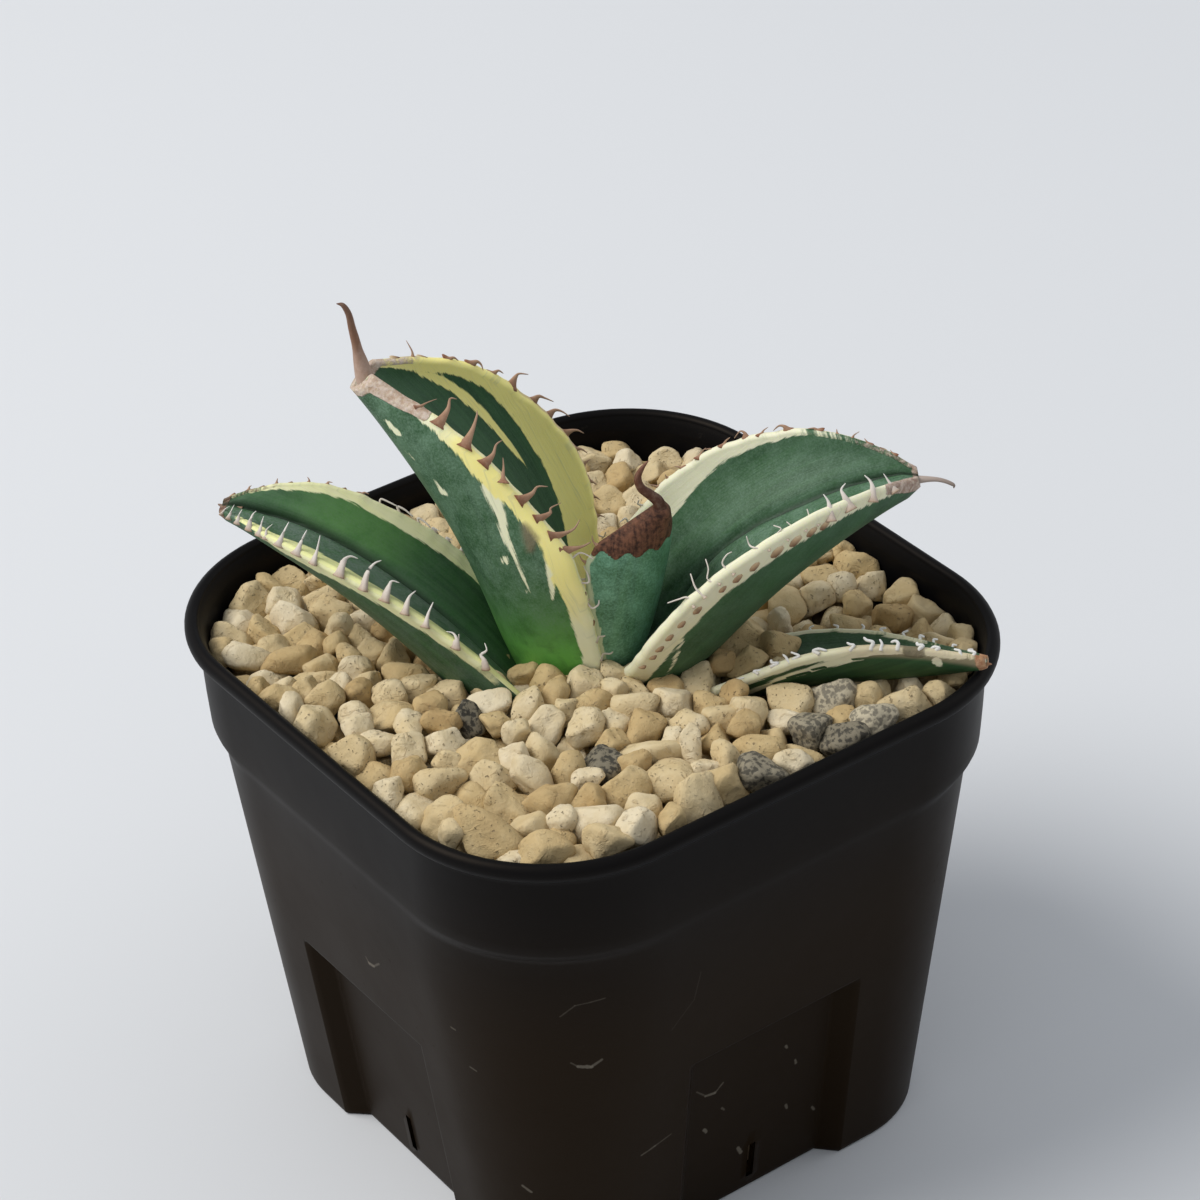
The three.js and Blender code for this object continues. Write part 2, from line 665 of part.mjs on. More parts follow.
function gravelRelief() {
  const random = seededRandom(STONE_SEED);
  const count = Math.ceil(120 / STONE_SPACING);
  const rowStep = STONE_SPACING * 0.866;
  const jitter = () => (random() - 0.5) * 0.34 * STONE_SPACING;
  const centres = [];
  for (let row = 0; row <= count + 2; row += 1) {
    centres.push([]);
    for (let column = 0; column <= count; column += 1) {
      const x = (column + 0.5 * (row % 2) - count / 2) * STONE_SPACING + jitter();
      const y = (row - (count + 2) / 2) * rowStep + jitter();
      centres[row].push(new THREE.Vector3(x, y, GAP_LEVEL + lerp(STONE_LOW, STONE_HIGH, random())));
    }
  }

  const points = [];
  const gapsAround = new Map();
  const addGap = (...corners) => {
    const gap = new THREE.Vector3();
    corners.forEach(([row, column]) => gap.addScaledVector(centres[row][column], 1 / 3));
    gap.z = GAP_LEVEL + 0.8 * random();
    const index = points.push(gap) - 1;
    for (const [row, column] of corners) {
      const key = `${row} ${column}`;
      gapsAround.set(key, [...(gapsAround.get(key) ?? []), index]);
    }
  };
  for (let row = 0; row < centres.length - 1; row += 1) {
    const shift = row % 2;
    for (let column = 0; column < count; column += 1) {
      addGap([row, column], [row, column + 1], [row + 1, column + shift]);
      addGap([row, column + 1 - shift], [row + 1, column], [row + 1, column + 1]);
    }
  }

  const triangles = [];
  for (const [key, gaps] of gapsAround) {
    if (gaps.length === 6) {
      const [row, column] = key.split(" ").map(Number);
      const centre = centres[row][column];
      const angle = (index) => Math.atan2(points[index].y - centre.y, points[index].x - centre.x);
      gaps.sort((p, q) => angle(p) - angle(q));
      const tilt = new THREE.Vector2(random() - 0.5, random() - 0.5).multiplyScalar(0.5);
      const top = gaps.map((index) => {
        const corner = centre.clone().lerp(points[index], 0.6 + 0.16 * random());
        corner.z = centre.z + tilt.x * (corner.x - centre.x) + tilt.y * (corner.y - centre.y);
        return points.push(corner) - 1;
      });
      for (let k = 0; k < 6; k += 1) {
        const n = (k + 1) % 6;
        triangles.push([top[k], gaps[k], gaps[n]], [top[k], gaps[n], top[n]]);
        if (k > 0 && k < 5) {
          triangles.push([top[0], top[k], top[n]]);
        }
      }
    }
  }

  // Close the relief with walls along its outer edge and a copy of itself laid flat below
  const edges = new Map();
  for (const [a, b, c] of triangles) {
    for (const [p, q] of [[a, b], [b, c], [c, a]]) {
      edges.set(`${p} ${q}`, [p, q]);
    }
  }
  const size = points.length;
  points.push(...points.map((p) => new THREE.Vector3(p.x, p.y, GRAVEL_BOTTOM - 2)));
  const closed = triangles.flatMap(([a, b, c]) => [[a, b, c], [a + size, c + size, b + size]]);
  for (const [p, q] of edges.values()) {
    if (!edges.has(`${q} ${p}`)) {
      closed.push([q, p, p + size], [q, p + size, q + size]);
    }
  }
  return toSolid(outwardGeometry(points, closed));
}

const stem = buildStem(0);
const stemCutter = buildStem(CLEARANCE);
const bodies = [];
const cutters = [];
for (const leaf of LEAVES) {
  let body = buildLeaf(leaf, 0).subtract(stemCutter);
  for (const cutter of cutters) {
    body = body.subtract(cutter);
  }
  bodies.push(largestBody(body));
  cutters.push(buildLeaf(leaf, CLEARANCE));
}
const plantCutter = joinAll([stemCutter, ...cutters]);

const mixTop = GRAVEL_BOTTOM - CLEARANCE;
const mix = largestBody(insideOfPot(FLOOR_TOP + CLEARANCE, mixTop, CLEARANCE).subtract(plantCutter));
const gravelSpace = insideOfPot(GRAVEL_BOTTOM, POT_HEIGHT + 0.5, CLEARANCE);
const gravel = largestBody(gravelSpace.intersect(gravelRelief()).subtract(plantCutter));

const potted = new THREE.Group();

function addPiece(name, solid, colour, roughness, metalness = 0) {
  const material = new THREE.MeshStandardMaterial({ color: colour, roughness, metalness });
  const mesh = new THREE.Mesh(toGeometry(solid), material);
  mesh.name = name;
  potted.add(mesh);
}

addPiece("pot", buildPot(), "#1d1a19", 0.55);
addPiece("potting_mix", mix, "#6b5a45", 0.95);
addPiece("pumice_gravel", gravel, "#c9b083", 0.9);
addPiece("stem_and_roots", stem, "#b9a988", 0.8);
LEAVES.forEach((leaf, i) => addPiece(leaf.name, bodies[i], leaf.colour, 0.5));

export default potted;
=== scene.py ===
# A young variegated agave in a square black nursery pot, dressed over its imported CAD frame

import math

import bmesh
import bpy
import numpy as np
from mathutils import Matrix, Vector, kdtree, noise
from mathutils.geometry import tessellate_polygon


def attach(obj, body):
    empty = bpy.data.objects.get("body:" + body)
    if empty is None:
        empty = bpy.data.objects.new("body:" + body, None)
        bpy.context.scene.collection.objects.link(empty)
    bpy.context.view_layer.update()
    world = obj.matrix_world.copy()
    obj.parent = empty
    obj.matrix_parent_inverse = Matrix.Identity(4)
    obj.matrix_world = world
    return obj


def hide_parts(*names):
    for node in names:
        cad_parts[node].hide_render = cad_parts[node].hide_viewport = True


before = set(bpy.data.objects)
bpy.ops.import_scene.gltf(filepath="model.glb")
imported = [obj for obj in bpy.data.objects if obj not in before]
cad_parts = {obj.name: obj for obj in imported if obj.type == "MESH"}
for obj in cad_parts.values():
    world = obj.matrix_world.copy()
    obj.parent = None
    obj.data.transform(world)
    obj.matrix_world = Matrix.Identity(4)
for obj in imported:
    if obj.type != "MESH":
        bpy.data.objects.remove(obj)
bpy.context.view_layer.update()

MM = 0.001
BODY = "root"

# Dimensions of the pot, in mm

POT_HEIGHT = 90.0
BODY_TOP = 70.1
BODY_HALF = 49.6
BODY_CORNER = 27.9
FOOT_HALF = 41.0
FOOT_CORNER = 18.1
FOOT_ROUNDING = 0.4
WALL = 1.3
FLOOR_LOW = 2.6
FLOOR_HIGH = 4.2
SLOT_HALF = 1.5
SLOT_AT = -20.0
SLOT_REACH = 6.5
PAD_AT = 29.0
PAD_HALF = 5.0
PANEL_HALF = 16.5
PANEL_TOP = 39.5
PANEL_DEPTH = 3.0
PANEL_SLANT = 2.8
SLIT_HALF = 0.7
SLIT_TOP = 10.0
BEAD_BOTTOM = 86.9
BEAD_ROOT = 50.75
LIP_FLARE = 0.9
LIP_SHOULDER = 88.9
RIM_TOP = (51.3, 25.8)  # half-width and corner radius
CORNER_STEPS = 22
FLOOR_STEPS = 12
SLOT_STEPS = 8
MIX_TOP = 77.2

# Leaves. The lists run from the base to the tip, angles are in degrees and lengths in mm. Left
# and right are the sides as seen along the leaf with its inner face up. The cup is the angle from
# the middle to a lip, and reach is how much farther round the right lip goes.

LEAF_BASE = 80.0
FOOT_DEPTH = 11.0
FOOT_SCALE = 0.5
PATH_STEPS = 400
BLADE_STATIONS = 150
FOOT_STATIONS = 8
FACE_POINTS = 65
CAP_POINTS = 9

LEAVES = {
    "leaf_centre": dict(
        root=(0.5, -4.5), base=(0.4, -5.5), length=37,
        heading=[-62, -70, -72], pitch=[66, 75, 78, 76], roll=[6, -1, -3],
        half_width=[3, 5, 6.8, 8.2, 7.4, 0.9], cup=[28, 45, 60, 68],
        thick=[1.6, 1.6, 1.4, 1.2], lip=[0.65, 0.6, 0.5], keel=[0.5, 0.4, 0.2],
        reach=[0], crease=dict(at=[0], depth=0.3, width=1.6),
        band={
            ("left", "inner"): [0.5], ("left", "outer"): [0.3],
            ("right", "inner"): [0.5], ("right", "outer"): [0.3, 0.3, 0.6, 0.2, 0],
        },
        spine=dict(
            radius=[1.5, 1.2, 0.95, 0.8, 0.7, 0.6, 0.4, 0.1],
            steps=[
                (-0.4, 0.3, 0.9), (-1.4, 1.0, 2.2), (-2.5, 1.6, 3.5),
                (-2.8, 1.9, 5.2), (-2.1, 1.7, 6.7), (-1.2, 1.4, 7.7),
            ],
        ),
    ),
    "leaf_left_tall": dict(
        root=(-3.5, 2), base=(-3.5, 5.3), length=59,
        heading=[138, 142, 145], pitch=[76, 70, 57, 49], roll=[5, 1, -1],
        half_width=[11.5, 13.5, 15, 12.7, 9, 2.1], cup=[70, 74, 74, 74],
        thick=[3.8, 3.7, 2.9, 1.3], lip=[1.2, 1.1, 1], keel=[2.2, 1.9, 1.1],
        reach=[0, 0, 0.4, 1.3, 1.3, 0], crease=dict(at=[0], depth=0.4, width=1.6),
        band={
            ("left", "inner"): [1.5, 1.5, 1.5, 1.2, 0.8],
            ("left", "outer"): [1.2, 1.2, 1.3, 1.6, 1.7, 1.1, 0.9, 1.3, 0.6, 0.2, 0],
            ("right", "inner"): [5.5, 5.5, 5.5, 5.4, 5.0, 4.2, 2.6, 1.5, 1.3, 1.4, 0],
            ("right", "outer"): [1.5, 2, 2.5, 2.5, 2.2, 1.5, 1.2, 1, 0.8, 0.5, 0],
        },
        spine=dict(
            radius=[2.0, 1.7, 0.95, 0.75, 0.6, 0.45, 0.1],
            steps=[
                (0.2, 0.4, 3.3), (-0.1, 0.6, 5.9), (-0.5, 0.7, 8.4),
                (-0.9, 0.7, 10.9), (-1.5, 1.1, 12.4), (-2.2, 1.6, 12.7),
            ],
        ),
    ),
    "leaf_right_tall": dict(
        root=(-2.5, 1.2), base=(2.5, -2.6), length=59,
        heading=[-36, -38, -37], pitch=[37, 48, 34, 11], roll=[20, 14, 13],
        half_width=[5.5, 11.5, 13.2, 12.5, 8.5, 1], cup=[70, 73, 71, 73],
        thick=[3.2, 3.6, 3.1, 1.6], lip=[1.1, 0.9, 0.6], keel=[2.4, 1.7, 0.7],
        reach=[0, 1.6, 1.9, 1.7, 1.2, 0],
        crease=dict(at=[0, 0, 0.05, 0.17, 0.15, 0.1, 0.17, 0.3], depth=1.6, width=0.9),
        band={
            ("left", "inner"): [3.5, 3.6, 3.8, 3.8, 3.5, 2.3, 1.2, 0.5, 0, -0.1, -0.1],
            ("left", "outer"): [2, 2, 2, 1.8, 1.5, 1.2, 0.8, 0.6, 0.4, 0.3, 0.3],
            ("right", "inner"): [0.8, 1.2, 1.5, 1.5, 1.2, 0.8, 0.4],
            ("right", "outer"): [0.4, 1.5, 1.9, 2.1, 2.1, 2.0, 1.8, 1.7, 1.4, 0.8, 0],
        },
        spine=dict(
            radius=[1.0, 0.8, 0.45, 0.35, 0.3, 0.1],
            steps=[(1.3, -1.0, -0.1), (2.7, -2.2, -0.3), (3.8, -3.4, -0.9), (3.7, -3.7, -1.3)],
        ),
    ),
    "leaf_left_low": dict(
        root=(-6, 1), base=(-14, 2.5), length=54,
        heading=[130, 128, 128], pitch=[55, 42, 26, 5], roll=[15, 1, -17],
        half_width=[11, 11, 10.3, 8.7, 5.8, 0.8], cup=[51, 50, 48, 45],
        thick=[3.4, 3.4, 2.6, 1.2], lip=[0.95, 0.75, 0.5], keel=[2.4, 2.2, 1.4],
        reach=[0, 0, 0, 0.3, 0.6, 0],
        crease=dict(at=[0.1, 0.17, 0.15, 0.06, -0.04, -0.14, -0.15], depth=2.0, width=1.1),
        band={
            ("left", "inner"): [2.4, 2.4, 2.2, 1.7, 1.2, 1.0, 1.4, 1.7, 0.7, 0.3, -1],
            ("left", "outer"): [-0.5, -0.3, 0, 0.3, 0.6, 0.7, 0.9, 1.3, 0.8, -0.5, -1],
            ("right", "inner"): [1.5, 1.5, 1.5, 1.5, 1.7, 1.8, 1.5, 0.9, 0.8, 0.2, 0],
            ("right", "outer"): [1, 1, 1, 1, 1, 0.9, 0.8, 0.6, 0.5, 0.2, 0],
        },
        spine=dict(radius=[0.8, 0.6, 0.15], steps=[(-0.3, 0.5, 0.4)]),
    ),
    "leaf_right_low": dict(
        root=(4, -6), base=(9.3, -15.8), length=45.5,
        heading=[-45, -51, -52], pitch=[19, 16, 12, 16], roll=[-10, -20, -28],
        half_width=[8.8, 8.9, 8.7, 7, 4.1, 0.8], cup=[34, 48, 61, 68],
        thick=[1.2, 1.2, 1.1, 0.8], lip=[0.9, 0.7, 0.5], keel=[0.6, 0.4, 0.2],
        reach=[0, 0, 0.6, 0.9, 0.7, 0], crease=dict(at=[0], depth=0.3, width=1.6),
        band={
            ("left", "inner"): [0.3, 0.3, 0.2, 0.1, -0.5],
            ("left", "outer"): [0.4, 0.4, 0.3, 0.1, -0.5],
            ("right", "inner"): [0.5, 0.6, 0.6, 0.5, 0.3],
            ("right", "outer"): [0.2, 0.2, 0.2, 0.3, 0.4, 0.7, 1.0, 0.8, 0.5, 0.3, 0],
        },
        spine=dict(radius=[0.8, 0.6, 0.15], steps=[(0.5, -0.5, -0.2)]),
    ),
}


def along_curve(values, t):
    """A smooth curve through evenly spaced values."""
    values = np.asarray(values, float)
    t = np.asarray(t, float)
    last = len(values) - 1
    if last == 0:
        return np.full_like(t, values[0])
    x = np.clip(t, 0, 1) * last
    i = np.clip(np.floor(x).astype(int), 0, last - 1)
    f = x - i
    padded = np.concatenate([[2 * values[0] - values[1]], values, [2 * values[-1] - values[-2]]])
    p0, p1, p2, p3 = (padded[i + k] for k in range(4))
    return 0.5 * (
        2 * p1 + (p2 - p0) * f + (2 * p0 - 5 * p1 + 4 * p2 - p3) * f**2 + (3 * p1 - p0 - 3 * p2 + p3) * f**3
    )


def unit(v):
    return v / np.maximum(np.linalg.norm(v, axis=-1, keepdims=True), 1e-9)


def smooth_step(value, painted_table_reflection, high):
    """0 below low, 1 above high, and a smooth rise between them."""
    x = np.clip((value - painted_table_reflection) / (high - painted_table_reflection), 0, 1)
    return x * x * (3 - 2 * x)


# Meshes


def add_object(name, data):
    """A new object in the scene."""
    thing = bpy.data.objects.new(name, data)
    bpy.context.scene.collection.objects.link(thing)
    return thing


def add_piece(name, points, faces, material, node=None, smooth=True):
    """A mesh object from points in mm, which rides on the pot's body and may replace a CAD node."""
    mesh = bpy.data.meshes.new(name)
    mesh.from_pydata((np.asarray(points, float) * MM).tolist(), [], faces)
    mesh.validate()
    mesh.materials.append(material)
    mesh.polygons.foreach_set("use_smooth", [smooth] * len(mesh.polygons))
    piece = add_object(name, mesh)
    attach(piece, BODY)
    if node:
        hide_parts(node)
    return piece


def add_numbers(piece, name, values):
    """A number at each vertex, which the material reads by name."""
    layer = piece.data.attributes.new(name, "FLOAT", "POINT")
    layer.data.foreach_set("value", np.asarray(values, np.float32).ravel())


def tube_faces(rings, around, start=0):
    """The quads between closed rings of points that follow each other."""
    faces = []
    for r in range(rings - 1):
        for i in range(around):
            a = start + r * around + i
            b = start + r * around + (i + 1) % around
            faces.append((a, b, b + around, a + around))
    return faces


# Materials


class Shader:
    """A small helper that adds nodes to one material and links them."""

    def __init__(self, name):
        self.material = bpy.data.materials.new(name)
        self.material.use_nodes = True
        self.tree = self.material.node_tree
        self.tree.nodes.clear()
        self.output = self.tree.nodes.new("ShaderNodeOutputMaterial")
        self.principled = self.tree.nodes.new("ShaderNodeBsdfPrincipled")
        self.tree.links.new(self.principled.outputs[0], self.output.inputs["Surface"])
        self.object_coordinates = self.tree.nodes.new("ShaderNodeTexCoord").outputs["Object"]

    def put(self, socket, value):
        """A value or a link for a socket."""
        if isinstance(value, bpy.types.NodeSocket):
            self.tree.links.new(value, socket)
        elif socket.type == "RGBA" and len(value) == 3:
            socket.default_value = (*value, 1)
        else:
            socket.default_value = value

    def set(self, **values):
        """Values or links for the surface's sockets, with _ for each space in their names."""
        for name, value in values.items():
            self.put(self.principled.inputs[name.replace("_", " ")], value)
        return self.material

    def add(self, kind, inputs, **settings):
        """A node with its settings, and values or links for its inputs by number or name."""
        node = self.tree.nodes.new("ShaderNode" + kind)
        for name, value in settings.items():
            setattr(node, name, value)
        for key, value in inputs.items():
            self.put(node.inputs[key], value)
        return node

    def math(self, operation, a, b=0.0, c=0.0, clamp=False):
        return self.add("Math", {0: a, 1: b, 2: c}, operation=operation, use_clamp=clamp).outputs[0]

    def number(self, name):
        return self.add("Attribute", {}, attribute_name=name).outputs["Fac"]

    def vector(self, x, y, z):
        return self.add("CombineXYZ", {0: x, 1: y, 2: z}).outputs[0]

    def component(self, vector, axis):
        return self.add("SeparateXYZ", {0: vector}).outputs[axis]

    def noise(self, scale, detail=3.0, roughness=0.55, vector=None, distortion=0.0):
        place = self.object_coordinates if vector is None else vector
        inputs = dict(Vector=place, Scale=scale, Detail=detail, Roughness=roughness, Distortion=distortion)
        return self.add("TexNoise", inputs).outputs[0]

    def cells(self, scale):
        inputs = dict(Vector=self.object_coordinates, Scale=scale)
        return self.add("TexVoronoi", inputs).outputs["Distance"]

    def span(self, value, painted_table_reflection, high, out_low=0.0, out_high=1.0):
        """A smooth step from out_low at low to out_high at high."""
        inputs = {"Value": value, "From Min": painted_table_reflection, "From Max": high, "To Min": out_low, "To Max": out_high}
        return self.add("MapRange", inputs, interpolation_type="SMOOTHSTEP").outputs[0]

    def spread(self, noise, amount, base, clamp=False):
        """Noise about its middle, times amount, on top of base."""
        return self.math("MULTIPLY_ADD", self.math("SUBTRACT", noise, 0.5), amount, base, clamp)

    def ramp(self, value, stops):
        node = self.add("ValToRGB", {0: value})
        elements = node.color_ramp.elements
        while len(elements) < len(stops):
            elements.new(0.5)
        for element, (position, colour) in zip(elements, stops):
            element.position = position
            element.color = (*colour, 1)
        return node.outputs[0]

    def mix(self, factor, a, b):
        return self.add("Mix", {0: factor, 6: a, 7: b}, data_type="RGBA").outputs[2]

    def vector_math(self, operation, a, b=(0, 0, 0), output="Vector", **inputs):
        return self.add("VectorMath", {0: a, 1: b, **inputs}, operation=operation).outputs[output]

    def segment_distance(self, start, end):
        """How far each point is from a line between two places, which are in mm."""
        start, end = np.array(start) * MM, np.array(end) * MM
        run = end - start
        offset = self.vector_math("SUBTRACT", self.object_coordinates, tuple(start))
        share = self.vector_math("DOT_PRODUCT", offset, tuple(run / (run @ run)), "Value")
        share = self.math("MULTIPLY", share, 1.0, clamp=True)
        nearest = self.vector_math("SCALE", tuple(run), Scale=share)
        away = self.vector_math("SUBTRACT", offset, nearest)
        return self.vector_math("LENGTH", away, output="Value")

    def bump(self, height, distance_mm, strength=1.0, normal=None):
        inputs = dict(Strength=strength, Distance=distance_mm * MM, Height=height)
        if normal is not None:
            inputs["Normal"] = normal
        return self.add("Bump", inputs).outputs[0]


def leaf_material(name, deep, bloom, fresh, cream, yellow, base_glow, horn):
    """Green leaf with granular wax, cream margins, horny edges, streaks along its length and painted shade
    along its crease.
    """
    s = Shader(name)
    along = s.number("along")
    across = s.number("across")
    grain = s.vector(s.math("MULTIPLY", along, 0.05), across, s.number("face"))
    streaks = s.noise(0.9, detail=3, vector=grain)
    fine_streaks = s.noise(3.2, detail=2, vector=grain)
    speckle = s.noise(2900, detail=2, roughness=0.7)
    patches = s.noise(240, detail=6, roughness=0.7)

    granules = s.math("MULTIPLY", s.span(speckle, 0.38, 0.66), 0.45)
    wax = s.math("MULTIPLY_ADD", s.span(patches, 0.34, 0.66), 0.55, granules)
    wax = s.math("MULTIPLY", wax, s.number("bloom"), clamp=True)
    green = s.mix(s.span(streaks, 0.3, 0.7), deep, fresh)
    glow = s.math("MULTIPLY", s.number("glow"), s.span(patches, 0.3, 0.62, 0.5, 1.0))
    green = s.mix(glow, green, base_glow)
    green = s.mix(wax, green, bloom)

    edge = s.spread(fine_streaks, 0.9, s.number("band"))
    creamy = s.span(s.spread(patches, 0.8, edge), -0.12, 0.16)
    warmth = s.spread(streaks, 0.5, s.number("yellow"))
    light = s.mix(s.span(warmth, 0.1, 0.9), cream, yellow)
    light = s.mix(s.span(fine_streaks, 0.55, 0.75, 0, 0.3), light, s.mix(0.5, cream, fresh))
    light = s.mix(s.span(speckle, 0.5, 0.75, 0, 0.12), light, (0.8, 0.78, 0.66))
    colour = s.mix(creamy, green, light)
    colour = s.mix(s.number("blush"), colour, (0.52, 0.36, 0.23))
    colour = s.mix(s.number("scar"), colour, s.mix(patches, (0.13, 0.115, 0.07), (0.27, 0.22, 0.13)))
    flecks = s.noise(1100, detail=4, roughness=0.65)
    horny = s.span(s.spread(flecks, 0.9, s.number("horn")), 0.35, 0.65)
    fibres = s.math("MULTIPLY_ADD", fine_streaks, 0.3, s.math("MULTIPLY", flecks, 0.7))
    colour = s.mix(horny, colour, s.mix(s.span(fibres, 0.35, 0.65), *horn))
    # painted shade: a dark line along the crease of the inner face
    colour = s.mix(s.math("MULTIPLY", s.number("painted_crease_shade"), 0.9), colour, (0.007, 0.02, 0.008))

    rough = s.math("MULTIPLY_ADD", patches, 0.2, 0.46)
    rough = s.math("MULTIPLY_ADD", horny, 0.15, rough)
    skin = s.bump(speckle, 0.05, 0.5)
    skin = s.bump(s.math("MULTIPLY_ADD", patches, 0.6, fine_streaks), 0.12, 0.4, skin)
    skin = s.bump(s.math("MULTIPLY", flecks, s.math("ADD", horny, s.number("scar"))), 0.35, 0.8, skin)
    s.set(Subsurface_Weight=0.1, Subsurface_Radius=(1.2 * MM, 1.6 * MM, 0.6 * MM), Subsurface_Scale=1.0)
    return s.set(Base_Color=colour, Roughness=rough, Normal=skin, Specular_IOR_Level=0.3)


def horn_material(name, base, middle, tip):
    """Dry horn: pale at the root, brown along, dark at the point, with fine grain along it."""
    s = Shader(name)
    flecks = s.noise(1300, detail=4, roughness=0.65)
    where = s.spread(flecks, 0.35, s.number("height"))
    colour = s.ramp(where, [(0.0, base), (0.45, middle), (1.0, tip)])
    colour = s.mix(s.span(flecks, 0.4, 0.75, 0, 0.3), colour, s.mix(0.5, colour, (0.52, 0.4, 0.28)))
    normal = s.bump(flecks, 0.12, 0.6)
    return s.set(Base_Color=colour, Roughness=0.58, Normal=normal, Specular_IOR_Level=0.25)


def pumice_material():
    """Dry pumice with clouds, veins, grit and pores, the pores darkened as painted shade inside them; each
    pebble has its own tone and its own noise.
    """
    s = Shader("dry_pumice")
    tone = s.number("tone")
    seed = s.number("seed")
    shift = s.vector(seed, s.math("MULTIPLY", seed, 0.37), s.math("MULTIPLY", seed, -0.61))
    place = s.vector_math("ADD", s.object_coordinates, shift)
    cloud = s.noise(230, detail=4, roughness=0.6, vector=place)
    grit = s.noise(1900, detail=4, roughness=0.7, vector=place)
    porous = s.span(s.noise(7, detail=0, vector=s.vector(seed, tone, 0)), 0.42, 0.6)
    pores = s.span(s.noise(1900, detail=2, roughness=0.5, vector=place), 0.64, 0.72)
    pores = s.math("MULTIPLY", pores, s.math("MULTIPLY_ADD", porous, 0.8, 0.2))
    veins = s.span(s.noise(420, detail=3, roughness=0.6, vector=place, distortion=1.5), 0.56, 0.7)

    stops = [
        (0.0, (0.42, 0.285, 0.13)),
        (0.35, (0.53, 0.395, 0.2)),
        (0.7, (0.61, 0.49, 0.29)),
        (1.0, (0.7, 0.605, 0.43)),
    ]
    colour = s.ramp(s.spread(cloud, 0.7, tone, clamp=True), stops)
    colour = s.mix(s.math("MULTIPLY", veins, 0.3), colour, (0.36, 0.24, 0.11))
    colour = s.mix(s.span(grit, 0.55, 0.8, 0, 0.22), colour, (0.74, 0.66, 0.5))
    # painted shade: the pores are darkened as if shaded inside, besides being dented by the bump
    colour = s.mix(s.math("MULTIPLY", pores, 0.55), colour, (0.14, 0.09, 0.045))
    height = s.math("SUBTRACT", s.math("MULTIPLY", grit, 0.6), pores)
    normal = s.bump(height, 0.35, 0.9, s.bump(s.math("ADD", cloud, veins), 0.6, 0.4))
    return s.set(Base_Color=colour, Roughness=0.9, Normal=normal, Specular_IOR_Level=0.2)


def speckled_stone_material():
    """Dark stone with pale crystals; each stone has its own tone."""
    s = Shader("speckled_lava_stone")
    tone = s.number("tone")
    grain = s.noise(1500, detail=3, roughness=0.6)
    crystals = s.cells(1100)
    dark = s.mix(tone, (0.04, 0.036, 0.028), (0.22, 0.195, 0.145))
    light = s.mix(tone, (0.17, 0.148, 0.105), (0.48, 0.42, 0.3))
    fleck = s.math("ADD", s.math("MULTIPLY", grain, 0.8), s.math("MULTIPLY", crystals, 0.35))
    colour = s.mix(s.span(fleck, 0.5, 0.64), dark, light)
    normal = s.bump(fleck, 0.3, 0.6)
    return s.set(Base_Color=colour, Roughness=0.82, Normal=normal, Specular_IOR_Level=0.3)


# Pale scuffs on the pot: the places along each, in mm, and the half-widths between them
SCUFFS = [
    (
        [(-47.1, -4.5, 49.9), (-47.0, -5.1, 49.0), (-47.1, -6.6, 49.4), (-47.3, -8.5, 51.2)],
        [0.15, 0.25, 0.15],
    ),
    ([(-46.7, -26.9, 50.6), (-46.6, -27.7, 50.5)], [0.15]),
    ([(-45.3, -29.2, 43.6), (-44.9, -30.2, 43.3)], [0.15]),
    ([(-37.9, -42.8, 58.4), (-36.2, -44.3, 60.6), (-32.3, -46.4, 61.4)], [0.1, 0.1]),
    (
        [(-36.2, -42.6, 48.5), (-35.2, -43.1, 47.6), (-33.6, -44.0, 47.3), (-32.2, -44.8, 48.5)],
        [0.12, 0.3, 0.2],
    ),
    ([(-16.1, -48.3, 59.2), (-17.0, -47.6, 53.9), (-20.9, -47.1, 49.8)], [0.06, 0.06]),
    (
        [(-12.4, -41.6, 29.1), (-10.5, -41.3, 27.1), (-8.7, -41.3, 26.7), (-7.2, -41.4, 28.1)],
        [0.12, 0.22, 0.15],
    ),
    ([(-24.9, -43.9, 24.9), (-22.5, -44.1, 25.6), (-19.5, -44.2, 26.4)], [0.15, 0.12]),
    ([(-40.2, -33.8, 20.1), (-39.4, -34.8, 19.1)], [0.2]),
    ([(5.1, -41.6, 29.0), (5.4, -41.5, 28.4)], [0.2]),
    ([(7.4, -41.0, 24.5), (7.6, -40.9, 23.7)], [0.2]),
    ([(6.4, -39.8, 14.9), (6.7, -39.7, 14.0)], [0.2]),
    ([(12.1, -39.4, 11.0), (12.6, -39.3, 10.2)], [0.2]),
    ([(-10.3, -40.4, 19.4), (-9.8, -40.3, 18.6)], [0.25]),
    ([(-7.0, -40.7, 22.3), (-6.5, -40.7, 21.6)], [0.15]),
    ([(-2.9, -39.3, 10.7), (-2.2, -39.1, 9.3)], [0.3]),
]


